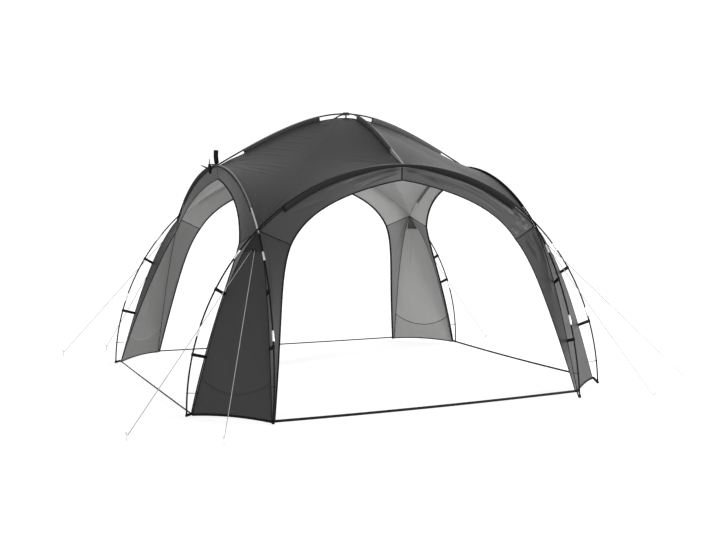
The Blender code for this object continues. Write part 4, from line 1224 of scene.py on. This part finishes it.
# Floor, light and backdrop: a plain pale floor under a white sky that is brighter low on
# the right, and one large soft lamp near the front right corner, as in the photograph.
FLOOR_SIZE = 120.0
SKY_EVEN = 1.26
ZENITH_FALL = 0.60
SKY_GLOW = 0.35
SKY_GLOW_FROM = (0.91, 0.40, 0.07)
SKY_GLOW_SHARPNESS = 3.0
SKY_HORIZON = 0.25
SUN_STRENGTH = 3.0
SUN_WIDTH = 0.20
SUN_FROM = (0.757, 0.216, 0.616)
FLOOR_LIFT = 0.75
KEY_POWER = 470.0
KEY_SIZE = 2.0
KEY_PLACE = (4.3, -5.3, 1.2)
KEY_AIM = (1.3, -1.8, 1.3)

floor_x, floor_y = np.meshgrid([-0.5, 0.5], [-0.5, 0.5])
floor_points = np.stack([floor_x, floor_y, np.zeros_like(floor_x)], axis=-1).reshape(-1, 3) * FLOOR_SIZE
floor_points[:, 2] = -0.002
material, tree, output = new_material("floor_paint")
place = node(tree, "ShaderNodeTexCoord", {}, output=3)
speckle = noise(tree, place, 2.0, 2.0, 0.5)
paint = mix_colours(tree, speckle, (0.34, 0.34, 0.34, 1.0), (0.37, 0.37, 0.37, 1.0))
matt = node(tree, "ShaderNodeBsdfDiffuse", {}, {"Color": paint})
glow = node(tree, "ShaderNodeEmission", {}, {"Strength": FLOOR_LIFT})
both = node(tree, "ShaderNodeAddShader", {}, {0: matt, 1: glow})
tree.links.new(both.socket, output.inputs["Surface"])
floor = mesh_object("floor", floor_points, [[0, 1, 3, 2]], [material])

world = bpy.data.worlds.new("white_sky")
bpy.context.scene.world = world
world.use_nodes = True
sky = world.node_tree
sky.nodes.clear()
facing = node(sky, "ShaderNodeTexCoord", {}, output=0)
toward = node(
    sky, "ShaderNodeVectorMath", {"operation": "DOT_PRODUCT"}, {0: facing, 1: SKY_GLOW_FROM}, output=1)
lobe = toward.math("MAXIMUM", toward, 0.0) ** SKY_GLOW_SHARPNESS
parts = node(sky, "ShaderNodeSeparateXYZ", {}, {0: facing}, output=2)
overhead = parts.math("MAXIMUM", parts - SKY_HORIZON, 0.0)
strength = lobe * SKY_GLOW + (1.0 - overhead * ZENITH_FALL) * SKY_EVEN
light = node(sky, "ShaderNodeBackground", {}, {"Strength": strength})
sky_output = sky.nodes.new("ShaderNodeOutputWorld")
sky.links.new(light.socket, sky_output.inputs["Surface"])

key_data = bpy.data.lights.new("key", "AREA")
key_data.shape = "SQUARE"
key_data.size = KEY_SIZE
key_data.energy = KEY_POWER
key = bpy.data.objects.new("key", key_data)
bpy.context.scene.collection.objects.link(key)
key.location = KEY_PLACE
key.rotation_euler = (Vector(KEY_AIM) - Vector(KEY_PLACE)).to_track_quat("-Z", "Y").to_euler()
key.visible_camera = False

sun_data = bpy.data.lights.new("sun", "SUN")
sun_data.energy = SUN_STRENGTH
sun_data.angle = SUN_WIDTH
sun = bpy.data.objects.new("sun", sun_data)
bpy.context.scene.collection.objects.link(sun)
sun.rotation_euler = (-Vector(SUN_FROM)).to_track_quat("-Z", "Y").to_euler()
sun.visible_glossy = False
